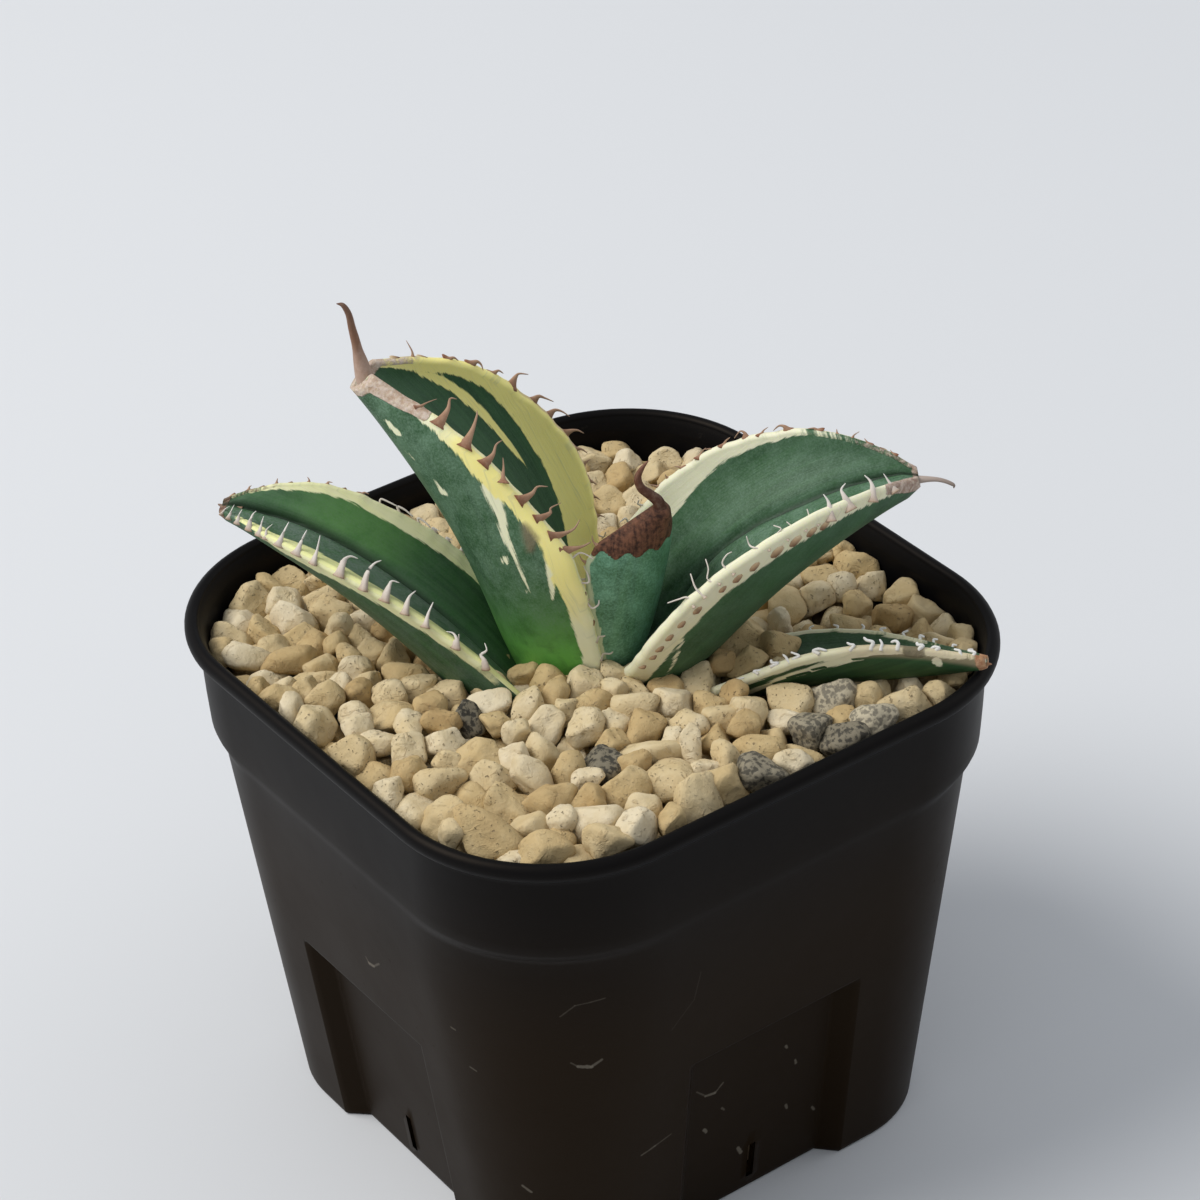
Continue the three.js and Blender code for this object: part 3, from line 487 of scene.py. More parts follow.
def pot_material():
    """Satin black plastic with faint moulding waves and dust, and a painted reflection of a warm table that
    makes it browner low down.
    """
    s = Shader("satin_black_plastic")
    height = s.component(s.object_coordinates, 2)
    mottle = s.noise(45, detail=3)
    grain = s.noise(2600, detail=2, roughness=0.6)
    dust = s.span(s.noise(700, detail=4, roughness=0.7), 0.64, 0.78)
    # painted reflection: the base colour turns warm brown low down, standing in for a warm table reflected in
    # the lower wall
    painted_table_reflection = s.span(height, 0.09, 0.045)
    colour = s.mix(painted_table_reflection, (0.0034, 0.0036, 0.0044), (0.0092, 0.0045, 0.0011))
    colour = s.mix(s.math("MULTIPLY", dust, 0.03), colour, (0.3, 0.28, 0.24))
    worn = s.math("ADD", s.noise(900, detail=3, roughness=0.7), -0.42)
    for places, widths in SCUFFS:
        for start, end, width in zip(places, places[1:], widths):
            inside = s.math("SUBTRACT", width * MM, s.segment_distance(start, end))
            inside = s.math("MULTIPLY_ADD", worn, 2 * width * MM, inside)
            scuff = s.span(inside, -0.1 * MM, 0.12 * MM, 0, min(2.5 * width, 0.6))
            colour = s.mix(scuff, colour, (0.16, 0.14, 0.11))
    rough = s.math("MULTIPLY_ADD", mottle, 0.14, 0.38)
    rough = s.math("ADD", rough, s.math("MULTIPLY", dust, 0.2))
    normal = s.bump(grain, 0.02, 0.5, s.bump(mottle, 0.35, 0.4))
    # The warm specular tint warms every reflection, also standing in for the reflected warm table
    s.set(Specular_IOR_Level=0.08, Specular_Tint=(1.0, 0.8, 0.6))
    return s.set(Base_Color=colour, Roughness=rough, Normal=normal)


def mix_material():
    """Brown crumbs with pale grit."""
    s = Shader("potting_mix")
    crumbs = s.cells(330)
    grit = s.noise(900, detail=4)
    stops = [(0.0, (0.24, 0.17, 0.1)), (0.5, (0.13, 0.085, 0.05)), (1.0, (0.03, 0.02, 0.012))]
    colour = s.ramp(crumbs, stops)
    colour = s.mix(s.span(grit, 0.5, 0.7, 0, 0.5), colour, (0.4, 0.3, 0.19))
    return s.set(Base_Color=colour, Roughness=0.95, Normal=s.bump(crumbs, 1.2, 0.8))


def stem_material():
    """Dry stem with fibres across it and fine grain."""
    s = Shader("dry_stem")
    height = s.component(s.object_coordinates, 2)
    across = s.component(s.object_coordinates, 0)
    fibres = s.noise(5, detail=3, vector=s.vector(s.math("MULTIPLY", height, 30), across, 0))
    grain = s.noise(800, detail=4)
    colour = s.mix(grain, (0.3, 0.2, 0.11), (0.62, 0.5, 0.34))
    return s.set(Base_Color=colour, Roughness=0.85, Normal=s.bump(s.math("ADD", grain, fibres), 0.4, 0.7))


# Pot: an outer and an inner skin over the same grid, joined at the rim, the foot and the slits


def body_at(z):
    """Half-width and corner radius of the pot's body at a height."""
    t = z / BODY_TOP
    return FOOT_HALF + (BODY_HALF - FOOT_HALF) * t, FOOT_CORNER + (BODY_CORNER - FOOT_CORNER) * t


def quarter_turn(points, turn):
    """Plan points turned about the pot's axis by that many quarters."""
    c, s = math.cos(math.pi / 2 * turn), math.sin(math.pi / 2 * turn)
    return [(x * c - y * s, x * s + y * c) for x, y in points]


def corner_arc(half, corner, inward, steps):
    """Plan points round the corner after a side, on a rounded square set in by inward."""
    flat = half - corner
    points = []
    for k in range(steps + 1):
        a = math.pi / 2 * k / steps
        points.append((flat + (corner - inward) * math.sin(a), -flat - (corner - inward) * math.cos(a)))
    return points


def pot_levels():
    """Height, half-width and corner radius at each level of the outer skin."""
    foot = [0, 0.5, 1.2, FLOOR_LOW, 4, 6, 8, SLIT_TOP, 13, 17, 21, 25, 29, 32, 34, 35.5]
    slanted = [PANEL_TOP - PANEL_SLANT + rise for rise in (-0.3, 0, 0.3, 0.9, 1.5, 2.1)]
    levels = []
    for z in foot + slanted + [PANEL_TOP, PANEL_TOP + 0.3, 41, 43, 48, 54, 60, 66, 69]:
        half, corner = body_at(z)
        if z == 0:
            half, corner = half - FOOT_ROUNDING, corner - FOOT_ROUNDING
        levels.append((z, half, corner))
    collar_and_rim = [
        (69.5, 49.55, 27.75), (70.1, 49.63, 27.2), (70.8, 49.79, 26.3), (71.5, 49.96, 25.6),
        (72.2, 50.06, 25.2), (74, 50.15, 25.2), (78, 50.35, 25.3), (82, 50.5, 25.4),
        (85.5, 50.65, 25.5), (86.6, BEAD_ROOT, 25.5), (86.95, 51.1, 25.8), (87.15, 51.7, 26.3),
        (87.4, 52.1, 26.6), (87.8, 52.36, 26.86), (88.3, 52.5, 27.0), (88.9, 52.48, 27.0),
        (89.4, 52.25, 26.75), (89.8, 51.8, 26.3), (POT_HEIGHT, *RIM_TOP),
    ]
    return levels + collar_and_rim


def panel_depth(x, z):
    """How deep the recessed panel of a face is, which slants out at its sides and its top."""
    beside = max(abs(x) - (PANEL_HALF - PANEL_SLANT), 0)
    above = max(z - (PANEL_TOP - PANEL_SLANT), 0)
    return max(PANEL_DEPTH * (1 - max(beside, above) / PANEL_SLANT), 0)


def pot_ring(z, half, corner, inward, straight):
    """A level of the pot's skin, set in by inward; straight holds the places along each side."""
    points = []
    for turn in range(4):
        side = [(x, -half + inward + panel_depth(x, z)) for x in straight]
        around = quarter_turn(side + corner_arc(half, corner, inward, CORNER_STEPS), turn)
        points += [(x, y, z) for x, y in around]
    return points


def inner_thickness(z, half):
    """How far the inner skin lies inside the outer one. The lip flares out, so the rim is thin."""
    if z <= BEAD_BOTTOM:
        return WALL
    return WALL + half - BEAD_ROOT - LIP_FLARE * float(smooth_step(z, BEAD_BOTTOM, POT_HEIGHT))


def build_pot(material):
    """The pot's wall, from outside over the rim to inside, with a slit up each panel."""
    deep = PANEL_HALF - PANEL_SLANT
    positive = [SLIT_HALF, 2, 4, 7, 10] + [deep + step for step in (-0.3, 0, 0.3, 0.9, 1.5, 2.1)]
    positive += [PANEL_HALF + step for step in (0, 0.3, 2, 4)]
    straight = [-x for x in reversed(positive)] + positive
    levels = pot_levels()
    rings = [pot_ring(z, half, corner, 0, straight) for z, half, corner in levels]
    rings += [pot_ring(z, *RIM_TOP, inward, straight) for z, inward in ((89.95, 0.3), (89.75, 0.65))]
    # The inner skin's top is a little lower, so the rim is round
    for z, half, corner in reversed(levels):
        lowered = z - 0.5 * max(z - LIP_SHOULDER, 0)
        rings.append(pot_ring(lowered, half, corner, inner_thickness(z, half), straight))
    points = [point for ring in rings for point in ring]
    count = len(rings[0])
    last_row = len(rings) - 1

    def quad(*corners):
        return tuple(row * count + column for row, column in corners)

    # The slit up the middle of each panel lies between the points at -SLIT_HALF and SLIT_HALF
    slit_columns = [turn * count // 4 + len(positive) - 1 for turn in range(4)]
    slit_rows = [i for i, level in enumerate(levels[:-1]) if FLOOR_LOW <= level[0] < SLIT_TOP]
    faces = []
    for row in range(last_row):
        in_slit = min(row, last_row - 1 - row) in slit_rows
        for i in range(count):
            if not (in_slit and i in slit_columns):
                j = (i + 1) % count
                faces.append(quad((row, i), (row, j), (row + 1, j), (row + 1, i)))
    for i in range(count):
        j = (i + 1) % count
        faces.append(quad((last_row, i), (last_row, j), (0, j), (0, i)))
    for i in slit_columns:
        j = i + 1
        for row in slit_rows:
            back = last_row - row
            faces.append(quad((row, i), (row + 1, i), (back - 1, i), (back, i)))
            faces.append(quad((row + 1, j), (row, j), (back, j), (back - 1, j)))
        row, back = slit_rows[0], last_row - slit_rows[0]
        faces.append(quad((row, j), (row, i), (back, i), (back, j)))
        row, back = slit_rows[-1] + 1, last_row - slit_rows[-1] - 1
        faces.append(quad((row, i), (row, j), (back, j), (back, i)))
    add_piece("pot_shell", points, faces, material, "pot")


def build_floor(material):
    """The raised floor with its four drain slots, and the corner pads under it."""
    half, corner = body_at(FLOOR_LOW)
    inset = WALL - 0.4
    deep = PANEL_HALF - PANEL_SLANT + 0.2
    notch = [(-PANEL_HALF, 0), (-deep, PANEL_DEPTH), (deep, PANEL_DEPTH), (PANEL_HALF, 0)]
    side = [(x, depth - half + inset) for x, depth in notch] + corner_arc(half, corner, inset, FLOOR_STEPS)
    slot = []
    for end in (-1, 1):
        for k in range(SLOT_STEPS + 1):
            a = math.pi * k / SLOT_STEPS + (math.pi if end < 0 else 0)
            slot.append((SLOT_HALF * math.cos(a), SLOT_AT + end * SLOT_REACH + SLOT_HALF * math.sin(a)))
    loops = [[point for turn in range(4) for point in quarter_turn(side, turn)]]
    loops += [quarter_turn(slot[::-1], turn) for turn in range(4)]
    flat_points = [p for loop in loops for p in loop]
    n = len(flat_points)
    triangles = tessellate_polygon([[Vector((x, y, 0)) for x, y in loop] for loop in loops])
    points = [(x, y, FLOOR_LOW) for x, y in flat_points] + [(x, y, FLOOR_HIGH) for x, y in flat_points]
    faces = [(a, b, c) for a, b, c in triangles] + [(c + n, b + n, a + n) for a, b, c in triangles]
    start = 0
    for loop in loops:
        for k in range(len(loop)):
            a, b = start + k, start + (k + 1) % len(loop)
            faces.append((a, b, b + n, a + n))
        start += len(loop)
    for x in (-PAD_AT, PAD_AT):
        for y in (-PAD_AT, PAD_AT):
            base = len(points)
            for z, h in ((0, PAD_HALF - 0.3), (0.3, PAD_HALF), (FLOOR_LOW + 0.2, PAD_HALF)):
                points += [(x + dx, y + dy, z) for dx, dy in ((-h, -h), (h, -h), (h, h), (-h, h))]
            faces += tube_faces(3, 4, base)
            faces += [(base + 3, base + 2, base + 1, base), (base + 8, base + 9, base + 10, base + 11)]
    add_piece("pot_floor", points, faces, material, smooth=False)


# Leaves


def leaf_frames(leaf, t):
    """Position, tangent, side and inner normal of the blade at each t."""
    fine = np.linspace(0, 1, PATH_STEPS + 1)

    def direction(at):
        heading = np.radians(along_curve(leaf["heading"], at))
        pitch = np.radians(along_curve(leaf["pitch"], at))
        level_part = np.cos(pitch)
        return np.stack([level_part * np.cos(heading), level_part * np.sin(heading), np.sin(pitch)], -1)

    steps = direction((fine[1:] + fine[:-1]) / 2) * leaf["length"] / PATH_STEPS
    path = np.vstack([[0, 0, 0], np.cumsum(steps, 0)]) + np.array([*leaf["base"], LEAF_BASE])
    position = np.stack([np.interp(t, fine, path[:, k]) for k in range(3)], -1)
    tangent = direction(t)
    level = unit(np.stack([-tangent[:, 1], tangent[:, 0], 0 * tangent[:, 0]], -1))
    up = np.cross(tangent, level)
    roll = np.radians(along_curve(leaf["roll"], t))[:, None]
    side = level * np.cos(roll) + up * np.sin(roll)
    return position, tangent, side, np.cross(tangent, side)


def frame_at(leaf, t):
    """What leaf_frames gives, at a single t."""
    return (v[0] for v in leaf_frames(leaf, np.array([t])))


def foot_frames(leaf, count):
    """The buried foot, from the stem to the base of the blade."""
    p, tangent, side, _ = frame_at(leaf, 0.0)
    start = np.array([*leaf["root"], LEAF_BASE - FOOT_DEPTH])
    reach = np.linalg.norm(p - start)
    leave = unit(np.array([p[0] - start[0], p[1] - start[1], reach]))
    q = [start, start + leave * reach * 0.45, p - tangent * reach * 0.45, p]
    u = (np.arange(count) / count)[:, None]
    position = (1 - u) ** 3 * q[0] + 3 * u * (1 - u) ** 2 * q[1] + 3 * u**2 * (1 - u) * q[2] + u**3 * q[3]
    slope = (1 - u) ** 2 * (q[1] - q[0]) + 2 * u * (1 - u) * (q[2] - q[1]) + u**2 * (q[3] - q[2])
    tangents = unit(slope)
    sides = unit(side - tangents * (tangents @ side)[:, None])
    return position, tangents, sides, np.cross(tangents, sides), FOOT_SCALE + (1 - FOOT_SCALE) * u[:, 0]


class Section:
    """The cross-section of a leaf at each t: a crescent with rounded lips, in mm."""

    def __init__(self, leaf, t, scale=1.0):
        cup = np.radians(along_curve(leaf["cup"], t))
        self.radius = along_curve(leaf["half_width"], t) * scale / np.sin(cup)
        self.left = cup
        self.right = cup + along_curve(leaf["reach"], t) / self.radius
        self.middle = np.minimum(along_curve(leaf["thick"], t) * (0.7 + 0.3 * scale), 0.7 * self.radius)
        self.lip = np.minimum(along_curve(leaf["lip"], t), 0.7 * self.radius)
        self.keel = np.maximum(along_curve(leaf["keel"], t), 0) * scale
        self.crease_at = along_curve(leaf["crease"]["at"], t)
        self.crease_depth = leaf["crease"]["depth"] * np.minimum(self.radius / 6, 1)
        self.crease_width = leaf["crease"]["width"]

    def angle(self, v):
        """How far round the crescent v lies."""
        return np.where(v > 0, v * self.left, v * self.right)

    def face_point(self, v, face):
        """v runs from 1 at the left lip to -1 at the right one; face is 1 inside and -1 outside."""
        angle = self.angle(v)
        half = self.lip + (self.middle - self.lip) * (1 - np.abs(v) ** 2.2)
        if face > 0:
            away = np.abs(v - self.crease_at) * self.radius
            half = half - self.crease_depth * np.exp(-away / self.crease_width)
        else:
            half = half + self.keel * (1 - np.abs(v)) ** 1.6
        x = self.radius * np.sin(angle) - face * half * np.sin(angle)
        y = self.radius * (1 - np.cos(angle)) + face * half * np.cos(angle)
        return x, y

    def cap_point(self, side, turn):
        """turn runs from 0 at the inner face to pi at the outer face, round the lip."""
        angle = self.left if side > 0 else -self.right
        facing_x, facing_y = self.cap_facing(side, turn)
        x = self.radius * np.sin(angle) + self.lip * facing_x
        y = self.radius * (1 - np.cos(angle)) + self.lip * facing_y
        return x, y

    def cap_facing(self, side, turn):
        """The way that the lip's skin faces there."""
        angle = self.left if side > 0 else -self.right
        x = -np.sin(angle) * np.cos(turn) + side * np.cos(angle) * np.sin(turn)
        y = np.cos(angle) * np.cos(turn) + side * np.sin(angle) * np.sin(turn)
        return x, y

    def rim_point(self, side, drop):
        """A point drop mm down the outside from the edge of the lip, and the way it faces."""
        quarter = self.lip[0] * math.pi / 2
        if drop <= quarter:
            turn = math.pi / 2 + drop / self.lip[0]
            return (*self.cap_point(side, turn), *self.cap_facing(side, turn))
        reach = self.left if side > 0 else self.right
        v = side * (1 - (drop - quarter) / (self.radius * reach))
        angle = self.angle(v)
        return (*self.face_point(v, -1), np.sin(angle), -np.cos(angle))

    def outward(self, side):
        """The way that the lip points."""
        angle = self.left if side > 0 else self.right
        return side * np.cos(angle), np.sin(angle)


def whole_leaf(leaf, stations, foot_stations):
    """Place, position, side, inner normal and cross-section from the stem to the tip."""
    t = np.linspace(0, 1, stations)
    foot = foot_frames(leaf, foot_stations)
    position, _, side, normal = (np.vstack(pair) for pair in zip(foot[:4], leaf_frames(leaf, t)))
    scale = np.concatenate([foot[4], np.ones_like(t)])
    t = np.concatenate([np.zeros(foot_stations), t])
    return t, position, side, normal, Section(leaf, t, scale)


def lip_distance(section, v, which):
    """How far a point of a face is from the lip on that side, in mm along the face."""
    angle = section.left if which == "left" else section.right
    on_side = v > 0 if which == "left" else v < 0
    return np.where(on_side, (section.radius * angle)[:, None] * (1 - np.abs(v)), 99.0)


def closed_tube(rings, first, last):
    """Points and faces of a tube through rings of points, closed by a point at each end."""
    count, around = rings.shape[:2]
    points = np.vstack([rings.reshape(-1, 3), first, last])
    faces = tube_faces(count, around)
    start, bottom, top = (count - 1) * around, len(points) - 2, len(points) - 1
    for i in range(around):
        j = (i + 1) % around
        faces.append((j, i, bottom))
        faces.append((start + i, start + j, top))
    return points, faces


def teeth_of(name):
    """Side, kind and rows of the teeth of one leaf."""
    return [(which, kind, rows) for (leaf, which, kind), rows in TEETH.items() if leaf == name]


SIDES = {"left": 1, "right": -1}
SWELLING_REACH = 1.7
MARKS = ("bloom", "glow", "yellow", "scar", "blush", "horn", "painted_crease_shade")


def build_blade(name, leaf, material):
    """The blade of a leaf, with swellings under its margin teeth and numbers for its markings."""
    t, position, side, normal, section = whole_leaf(leaf, BLADE_STATIONS, FOOT_STATIONS)
    even = np.linspace(1, -1, FACE_POINTS)
    spread = 0.5 * even + 0.5 * np.sin(even * math.pi / 2)
    turns = np.linspace(0, math.pi, CAP_POINTS + 2)[1:-1]
    columns = [(section.face_point(v, 1), v, 1.0) for v in spread]
    columns += [(section.cap_point(-1, turn), -1.0, math.cos(turn)) for turn in turns]
    columns += [(section.face_point(v, -1), v, -1.0) for v in spread[::-1]]
    columns += [(section.cap_point(1, turn), 1.0, math.cos(turn)) for turn in turns[::-1]]
    v = np.array([column[1] for column in columns])
    face = np.array([column[2] for column in columns])
    rings = np.stack([position + side * x[:, None] + normal * y[:, None] for (x, y), *_ in columns], 1)

    # Swellings under the teeth
    for which, kind, rows in teeth_of(name):
        out_x, out_y = section.outward(SIDES[which])
        outward = unit(side * out_x[:, None] + normal * out_y[:, None])
        near = np.exp(-((lip_distance(section, v, which) / SWELLING_REACH) ** 2))
        for root_t, _, width, *_ in rows:
            swell = TOOTH_FORM[kind]["swell"] * width
            ridge = np.exp(-(((t - root_t) * leaf["length"] / (1.1 * width + 0.3)) ** 2))
            rings += outward[:, None, :] * (swell * ridge[:, None] * near)[:, :, None]

    band = np.full(rings.shape[:2], -9.0)
    for (which, surface), widths in leaf["band"].items():
        width = along_curve(widths, t)[:, None]
        lip = lip_distance(section, v, which)
        here = (face > 0 if surface == "inner" else face <= 0)[None, :] & (lip < 50)
        band = np.where(here, np.maximum(band, width - lip), band)
    across = section.radius[:, None] * np.where(v > 0, section.left[:, None], section.right[:, None]) * v
    along = t[:, None] * leaf["length"] + 0 * v
    marks = leaf_marks(name, along, across, face, section, v)
    pale_alone = (marks["pale"] > -0.6) & (band < -0.2) & (face <= 0)
    marks["yellow"] = np.where(pale_alone, 0.0, marks["yellow"])
    band = np.maximum(band - 3 * marks["green"], marks["pale"])

    points, faces = closed_tube(rings, position[0], position[-1] + normal[-1] * 0.2)
    blade = add_piece(name.replace("leaf", "blade"), points, faces, material, name)
    marks.update(along=along, across=across, face=np.where(face > 0, 3.0, -3.0), band=band)
    for key in ("along", "across", "face", "band", *MARKS):
        add_numbers(blade, key, np.concatenate([(marks[key] + 0 * across).ravel(), [0, 0]]))


def dash(along, across, path, half_widths):
    """How far inside a tapering streak each point is, in mm; path is [(along, across), ...]."""
    best = np.full(along.shape, -9.0)
    for (a0, b0), (a1, b1), w0, w1 in zip(path, path[1:], half_widths, half_widths[1:]):
        u = ((along - a0) * (a1 - a0) + (across - b0) * (b1 - b0)) / ((a1 - a0) ** 2 + (b1 - b0) ** 2)
        u = np.clip(u, 0, 1)
        away = np.hypot(along - a0 - u * (a1 - a0), across - b0 - u * (b1 - b0))
        best = np.maximum(best, w0 + u * (w1 - w0) - away)
    return best


# Streaks and spots, by leaf, mark, surface and the lip that they are measured from: the places
# along each, as the distances along the leaf and from the lip, and its half-widths there, in mm
STREAKS = {
    ("leaf_left_tall", "pale", "outer", "left"): [
        ([(51.2, 4.2), (53.2, 3.5)], [0.55, 0.3]),
        ([(46.6, 6.8), (47.6, 6.5)], [0.25, 0.15]),
        ([(40.2, 7.3), (42.6, 6.5)], [0.55, 0.25]),
        ([(27.6, 6.6), (28.4, 6.3)], [0.45, 0.35]),
        ([(39.2, 0.7), (35, 2.2), (31.6, 3.8), (27.9, 4.9), (22, 5.9)], [0.95, 0.65, 0.5, 0.42, 0.12]),
        ([(27.2, 0.9), (24.7, 1.6), (20.2, 2.9)], [0.5, 0.55, 0.2]),
    ],
    ("leaf_left_tall", "pale", "inner", "right"): [(
        [(53, 1.2), (48.5, 2.6), (42.5, 4.4), (35.3, 6.2), (30.4, 7.3), (27, 7.9)],
        [0.3, 0.75, 0.85, 0.6, 0.35, 0.05],
    )],
    ("leaf_left_tall", "scar", "outer", "left"): [
        ([(32.2, 0.9), (30.2, 1.3), (28.6, 2.3)], [0.5, 0.95, 0.5]),
    ],
    ("leaf_left_tall", "horn", "both", "left"): [
        ([(59.5, 0), (53.5, -0.1), (50.8, 0)], [1.05, 0.55, 0.1]),
    ],
    ("leaf_right_tall", "pale", "outer", "right"): [
        ([(20, 2.2), (15.5, 3.6), (11, 4.2)], [0.25, 0.2, 0.05]),
    ],
    ("leaf_right_tall", "horn", "both", "right"): [([(59.5, 0), (54.5, 0.2)], [1.2, 0.3])],
    ("leaf_right_low", "pale", "outer", "right"): [
        ([(39, 1.1), (39, 1.15)], [0.6, 0.6]),
        ([(3, 2.5), (11, 2.3), (20, 1.7), (29, 0.9)], [0.3, 0.6, 0.6, 0.4]),
    ],
    ("leaf_right_low", "green", "outer", "right"): [
        ([(13, 2.4), (18, 2.1), (23, 1.6)], [0.05, 0.2, 0.05]),
        ([(26, 1.2), (34, 0.9), (38, 0.8)], [0.05, 0.3, 0.05]),
    ],
    ("leaf_right_low", "scar", "both", "right"): [([(34.8, 0.1), (36.8, 0.1)], [0.6, 0.6])],
}


def leaf_marks(name, along, across, face, section, v):
    """How strong each marking is at each point, as numbers that the leaf material reads."""
    inner = (face > 0)[None, :]
    outer = ~inner
    on_lip = (np.abs(v) == 1)[None, :]
    left_lip = (section.radius * section.left)[:, None]
    right_lip = (section.radius * section.right)[:, None]
    zero = np.zeros(across.shape)
    marks = {key: zero for key in MARKS}
    from_lip = {"left": left_lip - across, "right": across + right_lip}
    surfaces = {"inner": inner, "outer": outer, "both": inner | outer}
    within = {mark: zero - 9 for mark in ("pale", "green", "scar", "horn")}
    for (leaf, mark, surface, which), streaks in STREAKS.items():
        if leaf == name:
            for path, widths in streaks:
                depth = dash(along, from_lip[which], path, widths)
                within[mark] = np.maximum(within[mark], np.where(surfaces[surface], depth, -9))
    crease = section.crease_at[:, None]
    crease = crease * np.where(crease > 0, left_lip, right_lip)

    # painted shade: a dark line along the crease of the inner face, faded in along the leaf from start to end
    def painted_crease_shade(width, start, end):
        line = np.exp(-(((across - crease) / width) ** 2))
        return np.where(inner, line * smooth_step(along, start, end), 0)

    if name == "leaf_left_tall":
        marks["bloom"] = np.where(inner, 0.15, 0.95) * smooth_step(along, 6, 24)
        marks["glow"] = np.where(outer, 0.95 * (1 - smooth_step(along, 5, 27)), 0)
        near_band = 0.75 * smooth_step(along, 8, 24) * (1 - smooth_step(along, 44, 54))
        marks["yellow"] = np.where(inner, 0.45 + 0.55 * smooth_step(-across, 0, 12), near_band)
        edge = on_lip & (across < 0) & (np.abs(face) < 0.4)
        reddish = 0.7 * smooth_step(along, 8, 12) * (1 - smooth_step(along, 36, 42))
        marks["blush"] = np.where(edge, reddish, 0)
        marks["scar"] = 0.85 * smooth_step(within["scar"], -0.25, 0.55)
        edge = np.where(on_lip & (across < 0), 0.55 * smooth_step(along, 51, 55), 0)
        marks["horn"] = np.maximum(edge, smooth_step(along, 57.3, 58.3))
    elif name == "leaf_left_low":
        near_strip = across > crease
        marks["bloom"] = np.where(inner, np.where(near_strip, 1.15, 0.3), 0.6)
        marks["painted_crease_shade"] = painted_crease_shade(np.where(near_strip, 0.45, 1.0), 8, 20)
        # painted light: a brighter green on the lit far half of the inner face, beyond the crease
        lit_far_half = smooth_step(-across, -1, 3) * smooth_step(along, 20, 32)
        lit_far_half = lit_far_half * (1 - smooth_step(along, 36, 50))
        marks["glow"] = np.where(inner & ~near_strip, 0.75 * lit_far_half, 0)
        marks["yellow"] = np.where(inner & (across > 0), 0.75, 0.4) + zero
        edge = np.where(on_lip & (across < 0), 0.45 * smooth_step(along, 40, 50), 0)
        marks["horn"] = np.maximum(smooth_step(along, 52.6, 53.4), edge)
    elif name == "leaf_right_tall":
        near_strip = across < crease
        marks["bloom"] = np.where(inner, np.where(near_strip, 1.1, 0.7), 0.35) + zero
        marks["painted_crease_shade"] = painted_crease_shade(0.55, 12, 24)
        marks["glow"] = np.where(outer, 0.45 * (1 - smooth_step(along, 4, 22)), 0)
        marks["yellow"] = np.where(inner, 0.2, 0.35) + zero
        edge = np.where(on_lip & (across > 0), 0.5 * smooth_step(along, 48, 54), 0)
        marks["horn"] = np.maximum(edge, smooth_step(along, 57.8, 58.6))
    elif name == "leaf_right_low":
        marks["bloom"] = np.where(inner, 0.6, 0.08) + zero
        marks["yellow"] = np.where(along > 18, 0.35, 0.1) + zero
        from_right = from_lip["right"]
        rim = outer | (from_right < 0.4)
        reddish = 0.4 * smooth_step(along, 24, 29) * (1 - smooth_step(from_right, 0.5, 1.3))
        marks["blush"] = np.where(rim, reddish, 0)
        marks["scar"] = np.where(rim, smooth_step(within["scar"], -0.1, 0.2), 0)
        marks["horn"] = smooth_step(along, 43.8, 44.8)
    else:
        marks["bloom"] = 1.0 + zero
        marks["glow"] = 0.35 * (1 - smooth_step(along, 2, 14))
        edge = 30.4 + 0.12 * across + 0.5 * np.sin(across * 2.1)
        marks["horn"] = smooth_step(along, edge, edge + 0.35)
    marks["horn"] = np.maximum(marks["horn"], smooth_step(within["horn"], -0.1, 0.25))
    marks["green"] = smooth_step(within["green"], -0.2, 0.2)
    marks["pale"] = np.where(marks["green"] > 0.5, -9, within["pale"])
    return marks


